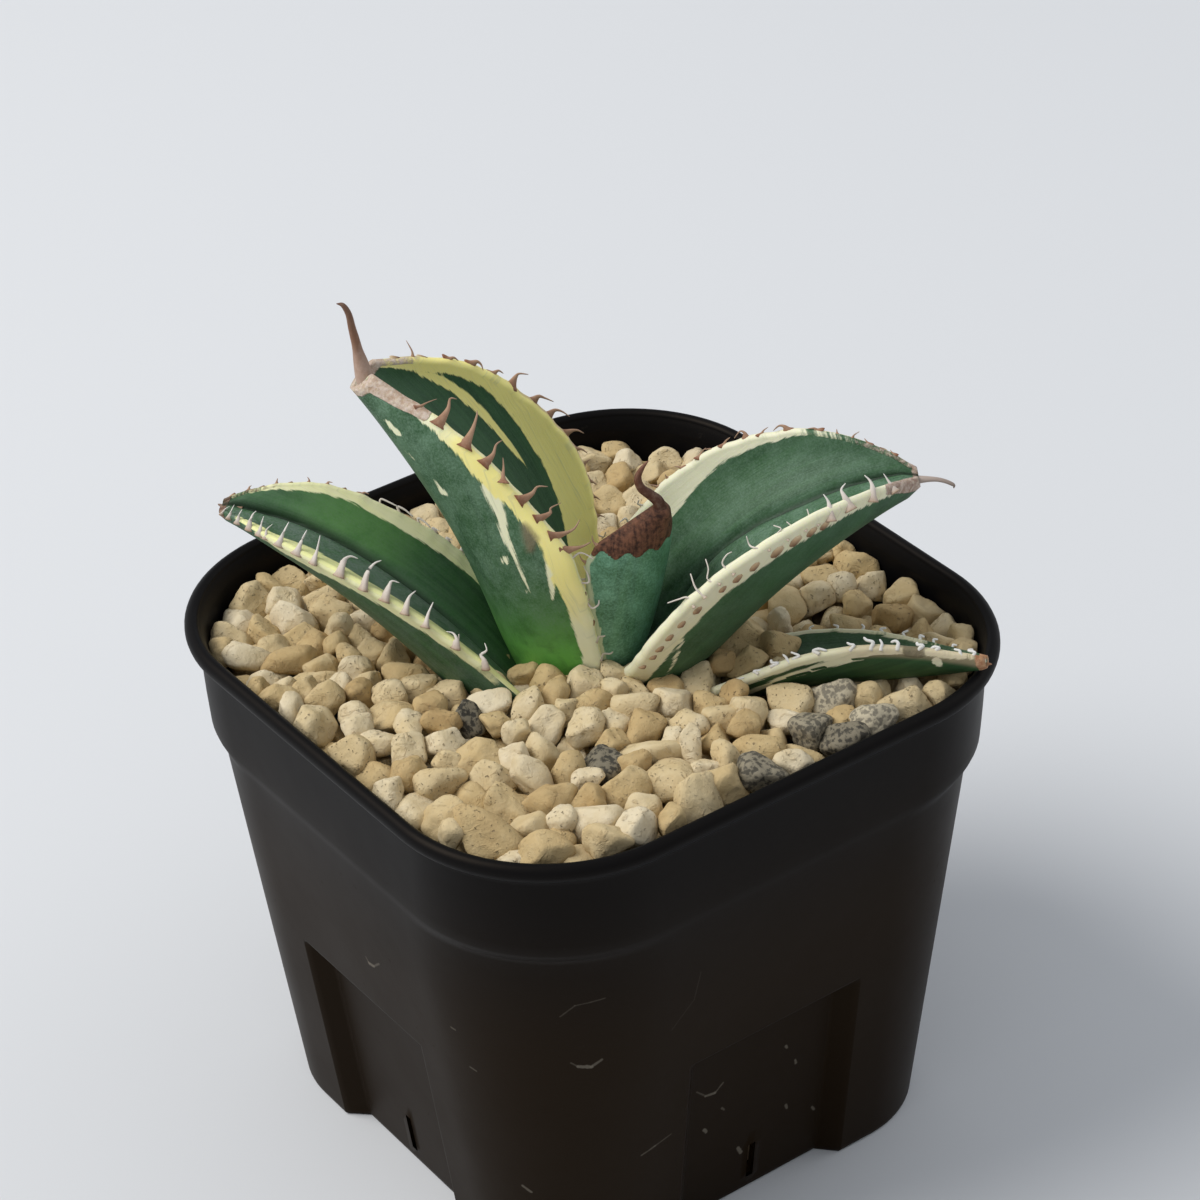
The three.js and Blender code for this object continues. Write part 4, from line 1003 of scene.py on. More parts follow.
# Margin teeth, by leaf, side and kind: where the root is along the leaf (0 to 1) and how far down the
# outside from the lip's edge (mm), its width, and the steps from the root to the points that the
# tooth runs through, outwards, along the leaf and towards its inner side, in mm. Bumps have none.
TEETH = {
    ("leaf_left_tall", "left", "horn"): [
        (0.89, 0.1, 0.8, (1.2, -0.3, 0.6), (2.4, -0.9, 1.3)),
        (0.84, 0.3, 1.5, (1.6, 0.5, 1.5), (2.4, 1.3, 2.6), (3, 0.6, 2.9)),
        (0.77, 0.3, 1.5, (1.5, 0.8, 1.6), (2.6, 1.7, 3), (2.9, 2.2, 3.6)),
        (0.71, 0.3, 1.4, (1.2, 0.2, 1), (2, 0.9, 2), (2.9, 0.8, 2.7)),
        (0.66, 0.3, 1.4, (0.6, 0.9, 1), (1, 2, 2)),
        (0.595, 0.3, 1.5, (1.4, -0.1, 1), (2.3, 0.2, 1.8), (3.5, -0.6, 2.2)),
        (0.54, 0.2, 1.3, (1.5, -0.2, 1), (1.9, 0.4, 1.3), (3.2, 0.1, 2.3)),
        (0.49, 0.2, 1.5, (1.6, -0.4, 0.8), (2.8, -0.5, 1.5), (3.8, 0.1, 2.5)),
        (0.45, 0.1, 1.6, (1.6, -0.4, 0.6), (2.6, -0.7, 1.2), (3.6, -0.7, 1.8)),
    ],
    ("leaf_left_tall", "left", "thread"): [
        (0.42, 0, 0.7, (1.2, 0.3, 1.1), (2.1, 0.1, 1.3), (3.2, -1.1, 1.2)),
        (0.36, 0, 0.7, (1.1, -0.5, 0.4), (1.3, 0.4, 0.9), (0.9, 1.7, 1.7)),
        (0.3, 0, 0.7, (0.5, -1, -0.3), (1.4, -0.9, 0.2), (1.6, -0.4, 0.7)),
        (0.18, 0, 0.8, (0.3, 0.3, 0.4), (1.1, 0.2, 0.6), (1.7, 1.4, 2)),
        (0.12, 0, 0.8, (0.3, 0.4, 0.5), (1.4, 0.1, 0.9), (2.2, 1.3, 2.2)),
        (0.07, 0, 0.6, (0.7, -0.2, 0.4), (1.4, 0.3, 1), (1.3, 1, 1.5)),
        (0.04, 0, 0.6, (0.9, -0.3, 0.3), (0.5, 0.3, 0.6), (0.9, 0.9, 1)),
    ],
    ("leaf_left_tall", "left", "bump"): [
        (0.405, 0.1, 1.7), (0.33, 0.1, 1.4), (0.24, 0.1, 1.2),
    ],
    ("leaf_left_tall", "right", "bump"): [
        (0.95, 0, 1), (0.89, 0, 1.2),
    ],
    ("leaf_left_tall", "right", "horn"): [
        (0.92, 0, 1, (0.6, 0.8, -0.3), (1, 2.4, -0.9)), (0.84, 0, 1.3, (0.7, -0.2, 0.1), (0.9, -1, 0.2)),
        (0.785, 0, 1.3, (0.9, -0.2, 0), (1.1, -0.9, 0.2), (0.8, -1.7, 0.5)),
        (0.725, 0, 1.3, (0.9, -0.1, 0), (1.2, -0.9, 0.1)),
        (0.67, 0, 1.4, (1.2, 0.5, -0.4), (1.9, 0.5, -0.5), (2.9, -0.4, -0.4)),
        (0.6, 0, 1.4, (1.1, 0.1, 0), (1.7, -0.6, 0.1), (2.5, -1.8, 0.4)),
        (0.545, 0, 1.3, (1.2, 0.1, -0.1), (2, -0.6, 0.1), (2.6, -1.8, 0.6)),
        (0.48, 0, 1.3, (1.1, -0.1, 0.1), (1.9, -0.5, 0.2), (2.5, -1.3, 0.5)),
        (0.43, 0, 1.2, (0.8, -0.4, 0.2), (1.3, -1.3, 0.6)),
        (0.385, 0, 1.1, (0.7, 0.2, 0), (1.4, 0.2, -0.1)),
        (0.34, 0, 1.1, (0.5, -0.4, 0.2), (0.8, -0.9, 0.5)), (0.3, 0, 1, (0.5, -0.4, 0.2), (0.8, -0.9, 0.5)),
        (0.25, 0, 1, (0.6, -0.2, 0.2), (1.1, -0.7, 0.4)),
    ],
    ("leaf_left_tall", "right", "thread"): [
        (0.2, 0, 0.6, (0.7, -0.5, 0.3), (1.2, 0.4, 0.8)), (0.14, 0, 0.6, (0.8, 0.3, 0.2), (1.1, -0.6, 0.8)),
    ],
    ("leaf_left_low", "left", "pale"): [
        (0.985, 0, 0.6, (0.1, -0.3, 0.6), (-0.2, -0.8, 1.1)),
        (0.96, 0, 0.7, (0.2, -0.1, 0.8), (0, -0.3, 1.8)), (0.93, 0, 0.8, (0.3, 0, 0.9), (0.1, -0.2, 1.8)),
        (0.89, 0, 0.9, (0.3, 0.1, 1), (0.2, 0, 2), (0, -0.3, 2.6)),
        (0.855, 0, 0.9, (0.3, 0.1, 1.2), (0.1, 0.2, 2.5)), (0.835, 0, 0.7, (0.3, 0.1, 1), (0.2, -0.4, 2)),
        (0.79, 0, 1.1, (0.4, 0, 1.6), (0.2, -0.1, 3.4)), (0.735, 0, 1.2, (0.4, 0.1, 1.7), (0.3, 0.1, 3.5)),
        (0.685, 0.1, 1.3, (0.4, 0.3, 1.7), (0.4, 0.9, 3.7)),
        (0.61, 0, 1.4, (0.4, 0.4, 1.9), (0.5, -0.1, 2.9), (0.4, -1.2, 3.2)),
        (0.54, 0.1, 1.5, (0.5, 0.7, 2), (0.7, 0.6, 3.6), (0.8, 0, 4.6)),
        (0.48, 0, 1.4, (0.4, 0.5, 1.6), (0.5, 0.6, 2.6), (0.6, -0.4, 3)),
        (0.42, 0.1, 1.4, (0.3, 0.6, 1.3), (0.5, 0.8, 2.2), (0.7, 0.6, 3.2)),
        (0.36, 0.1, 1.4, (0.3, 0.7, 1.4), (0.7, 1.2, 3.1)),
        (0.27, 0.1, 1.3, (0.4, 0.5, 0.6), (0.1, 1.4, 1), (-0.2, 2.3, 0.6)),
        (0.18, 0, 1.2, (0.3, 0.7, 0.4), (-0.1, 1.5, 0.8), (0.6, 1.4, 1.7), (0.4, 2.3, 2.4)),
    ],
    ("leaf_left_low", "left", "thread"): [
        (0.265, 0, 0.6, (0.5, 0.4, 0.6), (0.3, 0.9, 1.4)),
    ],
    ("leaf_left_low", "right", "bump"): [
        (0.975, 0, 0.7), (0.905, 0, 0.8), (0.84, 0, 0.9), (0.71, 0, 0.9),
    ],
    ("leaf_left_low", "right", "horn"): [
        (0.94, 0, 0.8, (0.5, 0, 0), (0.8, -0.3, 0.1)), (0.875, 0, 0.9, (0.5, 0.1, 0), (0.9, 0.1, 0)),
        (0.8, 0, 0.9, (0.4, 0.1, 0), (0.7, 0.5, 0)), (0.755, 0, 1, (0.4, 0, 0), (0.6, -0.6, 0.1)),
        (0.665, 0, 0.9, (0.4, -0.2, 0), (0.5, -0.9, 0.1)),
    ],
    ("leaf_left_low", "right", "thread"): [
        (0.615, 0, 0.7, (0.6, 0.1, 0), (0.8, -1.2, 0.1), (0.9, -2.6, 0.2)),
        (0.56, 0, 0.8, (0.5, 0.6, 0), (0.7, -0.6, 0.2), (0.5, -2.2, 0.2)),
        (0.5, 0, 0.8, (0.5, 0.5, 0), (0.6, -0.7, 0.1), (0.4, -1.9, 0.2)),
        (0.29, 0, 0.7, (0.5, -0.4, 0.1), (1, 0.4, 0.5)), (0.22, 0, 0.6, (0.6, 0.4, 0.1), (0.9, -0.5, 0.6)),
    ],
    ("leaf_left_low", "right", "pale"): [
        (0.455, 0, 0.9, (0.3, 0.3, 0), (0.5, -0.8, 0.1)), (0.41, 0, 0.9, (0.3, 0.2, 0), (0.5, -0.7, 0.1)),
        (0.36, 0, 0.8, (0.4, 0.2, 0), (0.7, -0.5, 0.2)),
    ],
    ("leaf_right_tall", "left", "horn"): [
        (0.95, 0, 0.8, (0.3, -0.1, -0.1), (0.6, -0.2, -0.3)),
        (0.9, 0, 0.8, (0.4, -0.1, -0.1), (0.8, -0.3, -0.4)),
        (0.87, 0, 0.8, (0.4, 0.4, -0.1), (0.6, 1.3, -0.2)),
        (0.84, 0, 0.8, (0.4, 0.1, -0.2), (0.7, 0.2, -0.4)),
        (0.8, 0, 1.2, (0.5, -0.2, 0), (0.8, -1.1, -0.1)),
        (0.74, 0, 1.3, (0.7, -0.1, -0.1), (1.1, -0.8, -0.3), (0.9, -1.9, -0.1)),
        (0.685, 0, 0.9, (0.3, 0.5, -0.2), (0.3, 1.3, -0.5)),
        (0.65, 0, 1.1, (0.7, 0.2, -0.2), (1.2, -0.3, -0.4), (0.8, -1.6, -0.2)),
        (0.6, 0, 1, (0.3, 0.5, -0.2), (0.3, 1.3, -0.5)), (0.57, 0, 0.9, (0.4, -0.2, -0.1), (0.9, -0.9, 0)),
        (0.54, 0, 1, (0.3, 0.5, -0.3), (0.3, 1.4, -0.6)), (0.49, 0, 1, (0.5, -0.2, 0), (0.9, -0.6, -0.1)),
        (0.45, 0, 0.9, (0.5, 0.1, 0), (0.9, 0.3, 0.1)), (0.42, 0, 1, (0.7, -0.3, 0), (1.4, -0.8, -0.1)),
    ],
    ("leaf_right_tall", "left", "bump"): [
        (0.925, 0, 0.8), (0.77, 0, 1),
    ],
    ("leaf_right_tall", "left", "thread"): [
        (0.36, 0, 0.7, (0.7, -0.3, 0.1), (1.2, 0.5, 0.4)), (0.3, 0, 0.7, (0.8, 0.3, 0.1), (1.2, -0.5, 0.6)),
        (0.24, 0, 0.6, (0.6, -0.4, 0.1), (1.1, 0.3, 0.6)),
    ],
    ("leaf_right_tall", "right", "pale"): [
        (0.94, 0.8, 0.9, (0.8, -0.5, 1.2), (1.5, -0.9, 2.1)),
        (0.89, 1.1, 1.2, (0.8, 0.5, 1.2), (1.3, 0.4, 2.2), (2, -0.1, 2.9)),
        (0.84, 1.1, 1.2, (1, -0.2, 1.4), (1.5, -0.3, 2.4), (1.9, 0.6, 2.9)),
        (0.795, 1.4, 1.2, (0.8, 0.5, 1.3), (1.3, 0.6, 2.2), (2, 0.4, 2.9)),
    ],
    ("leaf_right_tall", "right", "bump"): [
        (0.77, 2.1, 1.1), (0.74, 2.1, 1.2), (0.7, 2.2, 1.4), (0.655, 2.2, 1.5), (0.6, 2.2, 1.2),
        (0.555, 2.2, 1.2), (0.515, 2.1, 1), (0.435, 2.1, 1.2), (0.38, 1.9, 1.1), (0.33, 1.9, 1.1),
        (0.285, 1.9, 1.1), (0.25, 1.9, 0.9), (0.2, 1.6, 0.8), (0.13, 1.6, 0.7),
    ],
    ("leaf_right_tall", "right", "thread"): [
        (0.765, 1.1, 0.6, (0.8, -0.5, 0.9), (1.5, -0.4, 2)),
        (0.735, 1.1, 0.6, (0.5, -0.8, 0.3), (1.7, -1.6, 1.5)),
        (0.695, 0.9, 0.6, (0.9, -0.9, 0.8), (1.2, 0.2, 1.2), (1.7, -0.6, 2)),
        (0.65, 0.8, 0.7, (1.2, -1.4, 0.7), (1.3, -1.9, 1.5), (2.3, -1.5, 2.3)),
        (0.56, 0.8, 0.7, (1.2, -0.4, 1.4), (1.6, 0.9, 2), (1, 1.6, 2.4)),
        (0.52, 0.8, 0.7, (1, -0.8, 0.9), (1.5, 0.2, 2), (2.2, 0.7, 3.2)),
        (0.475, 0.9, 0.8, (1.1, -0.1, 1.2), (2.2, 0.6, 2.9)),
        (0.44, 0.9, 0.8, (0.9, 0.2, 1), (1.5, -0.9, 1.3), (2.4, -2.4, 1.4)),
    ],
    ("leaf_right_low", "left", "fibre"): [
        (0.54, 0, 0.8, (0.36, 0.22, 0.14), (0.72, -0.07, 0.29)),
        (0.61, 0, 0.8, (0.43, -0.22, 0.07), (0.5, 0.58, 0.07)),
        (0.69, 0, 0.8, (0.43, -0.14, 0.07), (0.72, 0.58, 0.07)),
        (0.75, 0, 0.9, (0.58, -0.07, 0), (0.36, 0.58, 0)), (0.8, 0, 0.8, (0.5, 0, 0), (0.43, 0.58, 0)),
        (0.87, 0, 0.7, (0.36, 0.07, 0), (0.22, 0.65, 0)),
        (0.94, 0, 0.7, (0.29, 0.14, 0), (0.29, -0.5, 0.14)),
        (0.45, 0, 0.7, (0.36, 0.14, 0.07), (0.58, -0.5, 0.22)),
        (0.36, 0, 0.7, (0.36, -0.14, 0.07), (0.58, 0.5, 0.22)),
    ],
    ("leaf_right_low", "right", "fibre"): [
        (0.22, 0, 0.8, (-0.07, 0.29, 0.14), (0.14, 0.65, 0.07)),
        (0.28, 0, 0.9, (0.07, -0.36, 0.22), (0.07, 0.29, 0.29), (-0.07, 0.94, 0.29)),
        (0.345, 0, 1, (0.14, 0.86, 0.22), (0.36, -0.14, 0.29), (0.58, -0.22, 0.65)),
        (0.395, 0, 0.9, (0.36, -0.22, 0.36), (0.65, -0.58, 0.65)),
        (0.42, 0, 0.9, (0.22, 0.65, 0.22), (0.65, -0.5, 0.65)),
        (0.49, 0.1, 1.1, (0.14, -0.58, 0.29), (0.36, 0.36, 0.43), (0, 1.44, 0.29)),
        (0.6, 0.3, 1, (0.36, 0.36, 0.22), (0.5, -0.22, 0.29), (0.72, -0.65, 0.43)),
        (0.66, 0.3, 1.1, (0.65, 0.29, 0.29), (0.94, -0.65, 0.43), (1.3, -1.01, 0.58)),
        (0.69, 0.4, 0.9, (0.5, 0.14, 0.29), (1.01, -0.14, 0.58)),
        (0.74, 0.3, 1.1, (0.5, 0.14, 0.22), (0.86, -0.22, 0.36), (0.79, -0.86, 0.22)),
        (0.81, 0.2, 1.1, (0.36, 0.43, 0.14), (0.5, -0.43, 0.22), (0.72, -0.5, 0.5)),
        (0.86, 0.1, 1, (0.22, 0.36, 0.07), (0.43, -0.36, 0.07), (0.22, -0.86, 0)),
        (0.93, 0.1, 0.9, (0.36, -0.07, 0.07), (0.65, -0.79, 0.07)),
        (0.97, 0, 0.9, (0.36, 0.22, 0.07), (0.72, -0.72, 0.07)),
    ],
    ("leaf_centre", "left", "thread"): [
        (0.45, 0, 0.6, (0.6, 0.3, 0.1), (1, -0.4, 0.3)), (0.6, 0, 0.6, (0.6, -0.3, 0.1), (0.9, 0.6, 0.3)),
        (0.72, 0, 0.7, (0.5, -0.7, 0), (0.9, -1.3, 0.2)),
    ],
    ("leaf_centre", "left", "horn"): [
        (0.82, 0, 0.9, (0.6, 0.3, 0), (1, 1, 0.2)),
    ],
    ("leaf_centre", "right", "thread"): [
        (0.66, 0, 0.8, (1, -0.2, 0), (1.4, 0.5, 0.2), (1.9, 0.4, 0.5)),
        (0.58, 0.5, 0.7, (0.9, 0.6, 0.6), (0.8, 1.3, 1.2)),
        (0.5, 0, 0.6, (0.7, -0.3, 0.2), (1.1, 0.4, 0.5)), (0.36, 0, 0.6, (0.5, 0.4, 0.3), (0.4, 1.2, 0.9)),
    ],
    ("leaf_centre", "right", "horn"): [
        (0.74, 0, 1, (0.7, 0.3, 0), (1.3, 1.1, 0.2)), (0.82, 0, 1, (0.6, 0.5, 0), (1, 1.5, 0.2)),
    ],
}

# Shares of a tooth's width: the swelling of the lip below it, the root's radius along the leaf and
# across it, the radius of the stem and of the tip, and how soon the root falls to the stem
TOOTH_FORM = {
    "horn": dict(swell=0.45, along=0.95, across=0.45, stem=0.24, tip=0.04, fall=0.32),
    "pale": dict(swell=0.35, along=0.85, across=0.5, stem=0.27, tip=0.05, fall=0.4),
    "thread": dict(swell=0.12, along=0.5, across=0.36, stem=0.27, tip=0.13, fall=0.16),
    "fibre": dict(swell=0.1, along=0.34, across=0.3, stem=0.3, tip=0.18, fall=0.2),
    "bump": dict(swell=0.3, along=1.2, across=0.6),
}
BUMP_HEIGHT = 0.45
TOOTH_SIDES = 10
TOOTH_RINGS = 16
SPINE_SIDES = 18
SPINE_RINGS = 40


def spline(points, count):
    """Evenly spread points on a smooth curve through the given ones."""
    points = np.asarray(points, float)
    u = np.linspace(0, 1, count)
    return np.stack([along_curve(points[:, k], u) for k in range(3)], -1)


def sweep(centres, radii_across, radii_along, facing, sides):
    """A closed horn through the centres; facing is the direction that radii_across go in."""
    slopes = unit(np.gradient(centres, axis=0))
    across = unit(facing - slopes * (slopes @ facing)[:, None])
    along = np.cross(slopes, across)
    a = 2 * math.pi * np.arange(sides) / sides
    rings = (
        centres[:, None, :]
        + across[:, None, :] * (radii_across[:, None] * np.cos(a))[:, :, None]
        + along[:, None, :] * (radii_along[:, None] * np.sin(a))[:, :, None]
    )
    points, faces = closed_tube(rings, centres[0], centres[-1] + slopes[-1] * radii_across[-1])
    height = np.concatenate([np.repeat(np.linspace(0, 1, len(centres)), sides), [0, 1]])
    return points, faces, height


def gather(parts):
    """Joins (points, faces, numbers) parts into one."""
    points, faces, numbers, start = [], [], [], 0
    for p, f, n in parts:
        points.append(p)
        faces += [tuple(i + start for i in face) for face in f]
        numbers.append(n)
        start += len(p)
    return np.vstack(points), faces, np.concatenate(numbers)


def tooth(leaf, which, form, root_t, drop, width, steps):
    """A horn or thread through its points, or a low bump where no steps are given."""
    position, tangent, side, normal = frame_at(leaf, root_t)
    section = Section(leaf, np.array([root_t]))
    x, y, facing_x, facing_y = (float(v[0]) for v in section.rim_point(SIDES[which], drop))
    root = position + side * x + normal * y
    facing = side * facing_x + normal * facing_y
    out_x, out_y = section.outward(SIDES[which])
    outward = unit(side * out_x + normal * out_y)
    inward = SIDES[which] * np.cross(tangent, outward)
    if steps:
        swell = form["swell"] * width
        root = root + outward * swell * 0.8
        moves = [o * outward + a * tangent + i * inward for o, a, i in steps]
        path = [root - unit(moves[0]) * (0.5 + 0.3 * swell), root] + [root + move for move in moves]
        u = np.linspace(0, 1, TOOTH_RINGS)
        body = form["stem"] * (1 - u) ** 0.8 + form["tip"] * u
        root_part = np.exp(-((u / form["fall"]) ** 2))
        across_radii = width * (form["across"] * root_part + body * (1 - root_part) * 0.8)
        along_radii = width * (form["along"] * root_part + body * (1 - root_part))
    else:
        path = [root - facing * 0.5, root, root + facing * BUMP_HEIGHT]
        u = np.array([0, 0.25, 0.5, 0.7, 0.85, 0.95, 1.0])
        dome = np.sqrt(1 - 0.98 * u**2)
        across_radii, along_radii = width * form["across"] * dome, width * form["along"] * dome
    return sweep(spline(path, len(u)), across_radii, along_radii, np.cross(tangent, facing), TOOTH_SIDES)


def build_teeth(name, leaf, materials):
    """The horny teeth and the dry white threads of both margins."""
    groups = {kind: [] for kind in TOOTH_FORM}
    for which, kind, rows in teeth_of(name):
        for root_t, drop, width, *steps in rows:
            groups[kind].append(tooth(leaf, which, TOOTH_FORM[kind], root_t, drop, width, steps))
    for kind, parts in groups.items():
        if parts:
            points, faces, height = gather(parts)
            piece_name = f"{name.replace('leaf', 'teeth')}_{kind}"
            piece = add_piece(piece_name, points, faces, materials[kind])
            add_numbers(piece, "height", height)


def build_spine(name, leaf, material):
    """The terminal spine, which grows out of the blade's tip."""
    position, tangent, side, _ = frame_at(leaf, 1.0)
    spine = leaf["spine"]
    path = [position - tangent * 3.2, position - tangent * 1.2]
    path += [position + np.array(step) for step in spine["steps"]]
    radius = along_curve(spine["radius"], np.linspace(0, 1, SPINE_RINGS))
    points, faces, height = sweep(spline(path, SPINE_RINGS), radius, radius * 0.85, side, SPINE_SIDES)
    piece = add_piece(name.replace("leaf", "spine"), points, faces, material)
    add_numbers(piece, "height", height)


# Gravel: pebbles settle between the pot's wall, the mix and the leaves, pushed apart and up to the gravel's
# top


def surface_samples():
    """Points on the buried and lower parts of all leaves, which the pebbles keep clear of."""
    samples = []
    for leaf in LEAVES.values():
        _, position, side, normal, section = whole_leaf(leaf, *SAMPLED_STATIONS)
        for v in np.linspace(-1, 1, SAMPLED_ACROSS):
            for face in (1, -1):
                x, y = section.face_point(v, face)
                samples.append(position + side * x[:, None] + normal * y[:, None])
    samples = np.vstack(samples)
    painted_table_reflection, high = SAMPLED_HEIGHTS
    return samples[(samples[:, 2] > painted_table_reflection) & (samples[:, 2] < high)]


def keep_inside(xy, half, corner, clearance):
    """Moves the points that are too near the rounded square's wall back from it."""
    q = np.abs(xy) - (half - corner)
    rounded = np.maximum(q, 0)
    length = np.linalg.norm(rounded, axis=1)
    over = np.maximum(length + np.minimum(q.max(1), 0) - corner + clearance, 0)
    return xy - np.sign(xy) * rounded * (over / np.maximum(length, 1e-6))[:, None]


def gravel_top(xy):
    """The height that the pebbles reach: near the rim at the front, lower at the back, with a
    small heap by the low right leaf."""
    toward_front = -0.5 * xy[..., 0] - 0.85 * xy[..., 1]
    beside_leaf = np.exp(-((xy[..., 0] - 18) ** 2 + (xy[..., 1] + 18.5) ** 2) / 30)
    return 86 + 3.4 * smooth_step(toward_front, 2, 14) + 2.2 * beside_leaf + smooth_step(toward_front, 35, 55)


def settle(centres, radii, named):
    """Pushes the pebbles apart, off the leaves and the wall, and up to the gravel's top."""
    samples = surface_samples()
    tree = kdtree.KDTree(len(samples))
    for i, p in enumerate(samples):
        tree.insert(p, i)
    tree.balance()
    reach = radii[:, None] + radii[None, :]
    share = np.where(named[:, None] == named[None, :], 0.5, np.where(named[:, None], 0.0, 1.0))
    np.fill_diagonal(share, 0)
    ceiling_offset = np.where(named, 0.6, 0.5 * np.sin(7 * np.arange(len(radii))) + 0.1)
    for _ in range(SETTLE_ROUNDS):
        centres[~named, 2] += RISE
        gaps = centres[:, None, :] - centres[None, :, :]
        distance = np.linalg.norm(gaps, axis=2) + 1e-9
        overlap = np.maximum(reach * SPACING - distance, 0) * share
        push = (gaps * (overlap / distance)[:, :, None]).sum(1)
        centres += np.clip(push, -1, 1) * YIELD
        for i, centre in enumerate(centres):
            near, _, away = tree.find(centre)
            if away < radii[i]:
                direction = centre - np.array(near)
                centres[i] += unit(direction) * (radii[i] - away) * YIELD
        centres[:, :2] = keep_inside(centres[:, :2], WALL_INSIDE, CORNER_INSIDE, radii * AT_WALL)
        top = gravel_top(centres[:, :2]) + ceiling_offset - radii
        centres[:, 2] = np.clip(centres[:, 2], MIX_TOP + radii * ABOVE_MIX, top)
    return centres


def stone(rng, half_axes, divisions):
    """A pebble: a ball cut by random planes, with worn edges, shallow dents and a rough skin."""
    directions, faces = BALLS[divisions]
    normals = unit(rng.normal(size=(STONE_CUTS, 3)))
    offsets = rng.uniform(0.58, 1.0, STONE_CUTS)
    edge = rng.uniform(11, 26)
    limit = offsets / np.maximum(directions @ normals.T, 0.05)
    radius = -np.log(np.exp(-edge * limit).sum(1) + math.exp(-edge * 1.1)) / edge
    radius = radius / np.mean(radius)
    offset = rng.uniform(-50, 50, 3)
    for frequency, depth in ((1.5, 0.1), (3.2, 0.045), (7.0, 0.02)):
        lumps = np.array([noise.noise(Vector(d * frequency + offset)) for d in directions])
        radius = radius * (1 + depth * lumps)
    return directions * radius[:, None] * half_axes, faces


def icosphere(divisions):
    """Directions all round, and the triangles between them."""
    mesh = bmesh.new()
    bmesh.ops.create_icosphere(mesh, subdivisions=divisions, radius=1)
    points = np.array([v.co for v in mesh.verts])
    faces = [tuple(v.index for v in face.verts) for face in mesh.faces]
    mesh.free()
    return unit(points), faces


BALLS = {3: icosphere(3), 4: icosphere(4)}
LOOSE_PEBBLES = 560
LOOSE_RADII = (1.9, 3.3)
LOOSE_SCALE = 1.02
NAMED_SCALE = 1.04
NAMED_SPACING = 0.94
SPECKLED_SHARE = 0.015
MOST_STONES = 140
VISIBLE_ABOVE = 82.0
SETTLE_ROUNDS = 170
RISE = 0.06
SPACING = 1.03
YIELD = 0.8
AT_WALL = 0.97
ABOVE_MIX = 0.8
SAMPLED_STATIONS = (90, 16)
SAMPLED_ACROSS = 25
SAMPLED_HEIGHTS = (74, 98)
STONE_CUTS = 12
RANDOM_SEED = 4892
WALL_INSIDE = 49.2
CORNER_INSIDE = 24.0

# Stones that stand out in the photograph: x and y, the half-length and half-width, the tilt of
# the length from the level as the camera sees it, how light the stone is (0 to 1), and whether it
# is speckled
NAMED_STONES = [
    (-14.5, -43.8, 4.6, 3.6, 80, 0.6),
    (-42.2, -33.5, 5.6, 2.9, -42, 0.3),
    (-14.0, -39.0, 3.9, 3.5, 0, 0.6),
    (-28.6, -40.6, 3.9, 3.3, -10, 0.9),
    (-30.2, -32.0, 3.8, 3.2, 10, 0.25),
    (-9.1, -11.4, 3.4, 2.9, 20, 0.75),
    (18.1, -18.8, 4.4, 3.5, 30, 0.35),
    (11.2, -18.9, 2.4, 2.1, 0, 0.0),
    (17.6, -37.0, 3.6, 3.0, 0, 0.95, "speckled"),
    (10.2, -41.5, 3.2, 2.7, 20, 0.4, "speckled"),
    (12.6, -45.8, 3.3, 2.9, -20, 0.1, "speckled"),
    (19.1, -45.5, 3.4, 2.9, 20, 1.0, "speckled"),
    (24.6, -44.8, 4.2, 3.1, 10, 0.65),
    (-2.4, -45.4, 3.2, 3.1, 0, 0.25, "speckled"),
    (-18.8, -29.3, 3.4, 2.9, 45, 0.05, "speckled"),
    (-28.0, -8.2, 2.7, 1.9, -60, 0.0, "speckled"),
    (-31.0, 35.6, 3.9, 3.2, -50, 0.95),
    (-27.1, 10.5, 4.1, 3.3, 0, 0.35),
    (-38.4, -41.8, 3.3, 2.6, 0, 0.35),
    (-30.6, -45.0, 3.2, 2.4, 5, 0.55),
    (-42.7, 31.4, 3.5, 2.6, -10, 0.9),
    (-38.0, 25.9, 3.9, 2.1, 15, 0.2),
    (-36.9, 18.5, 3.8, 2.1, -3, 0.5),
    (-31.8, 17.0, 2.7, 2.6, 0, 0.8),
    (-22.8, -6.6, 2.9, 2.6, 10, 0.95),
    (-20.2, -11.0, 3.6, 2.4, 75, 0.75),
    (-19.7, -16.0, 3.0, 2.8, 60, 0.85),
    (-34.0, -10.7, 3.0, 2.7, 0, 0.85),
    (-32.2, -16.8, 3.9, 2.7, -12, 0.45),
    (-40.9, -18.0, 3.9, 2.7, 25, 0.6),
    (-29.1, -24.8, 3.5, 2.4, -60, 0.8),
    (-36.1, -28.0, 3.4, 2.8, -15, 0.4),
    (-43.8, -25.3, 3.4, 3.1, 0, 0.5),
    (-19.5, -35.2, 3.8, 3.0, 45, 0.45),
    (-12.3, -31.4, 4.3, 2.6, 5, 0.65),
    (-6.6, -21.2, 3.4, 2.8, -10, 0.7),
    (-1.3, -23.4, 3.0, 2.5, -20, 0.9),
    (-11.2, -16.5, 2.9, 2.1, -10, 0.3),
    (-16.1, -20.4, 2.7, 2.6, 0, 0.75),
    (-24.8, 0.4, 3.2, 3.0, 60, 0.6),
    (-23.6, -27.0, 2.9, 2.3, 80, 0.4),
    (-8.2, -44.4, 3.2, 2.7, -5, 0.4),
    (1.2, -40.6, 3.5, 2.6, 0, 0.35),
    (2.6, -35.4, 2.5, 2.3, 0, 0.25),
    (-6.8, -34.9, 3.5, 1.7, -80, 0.85),
]


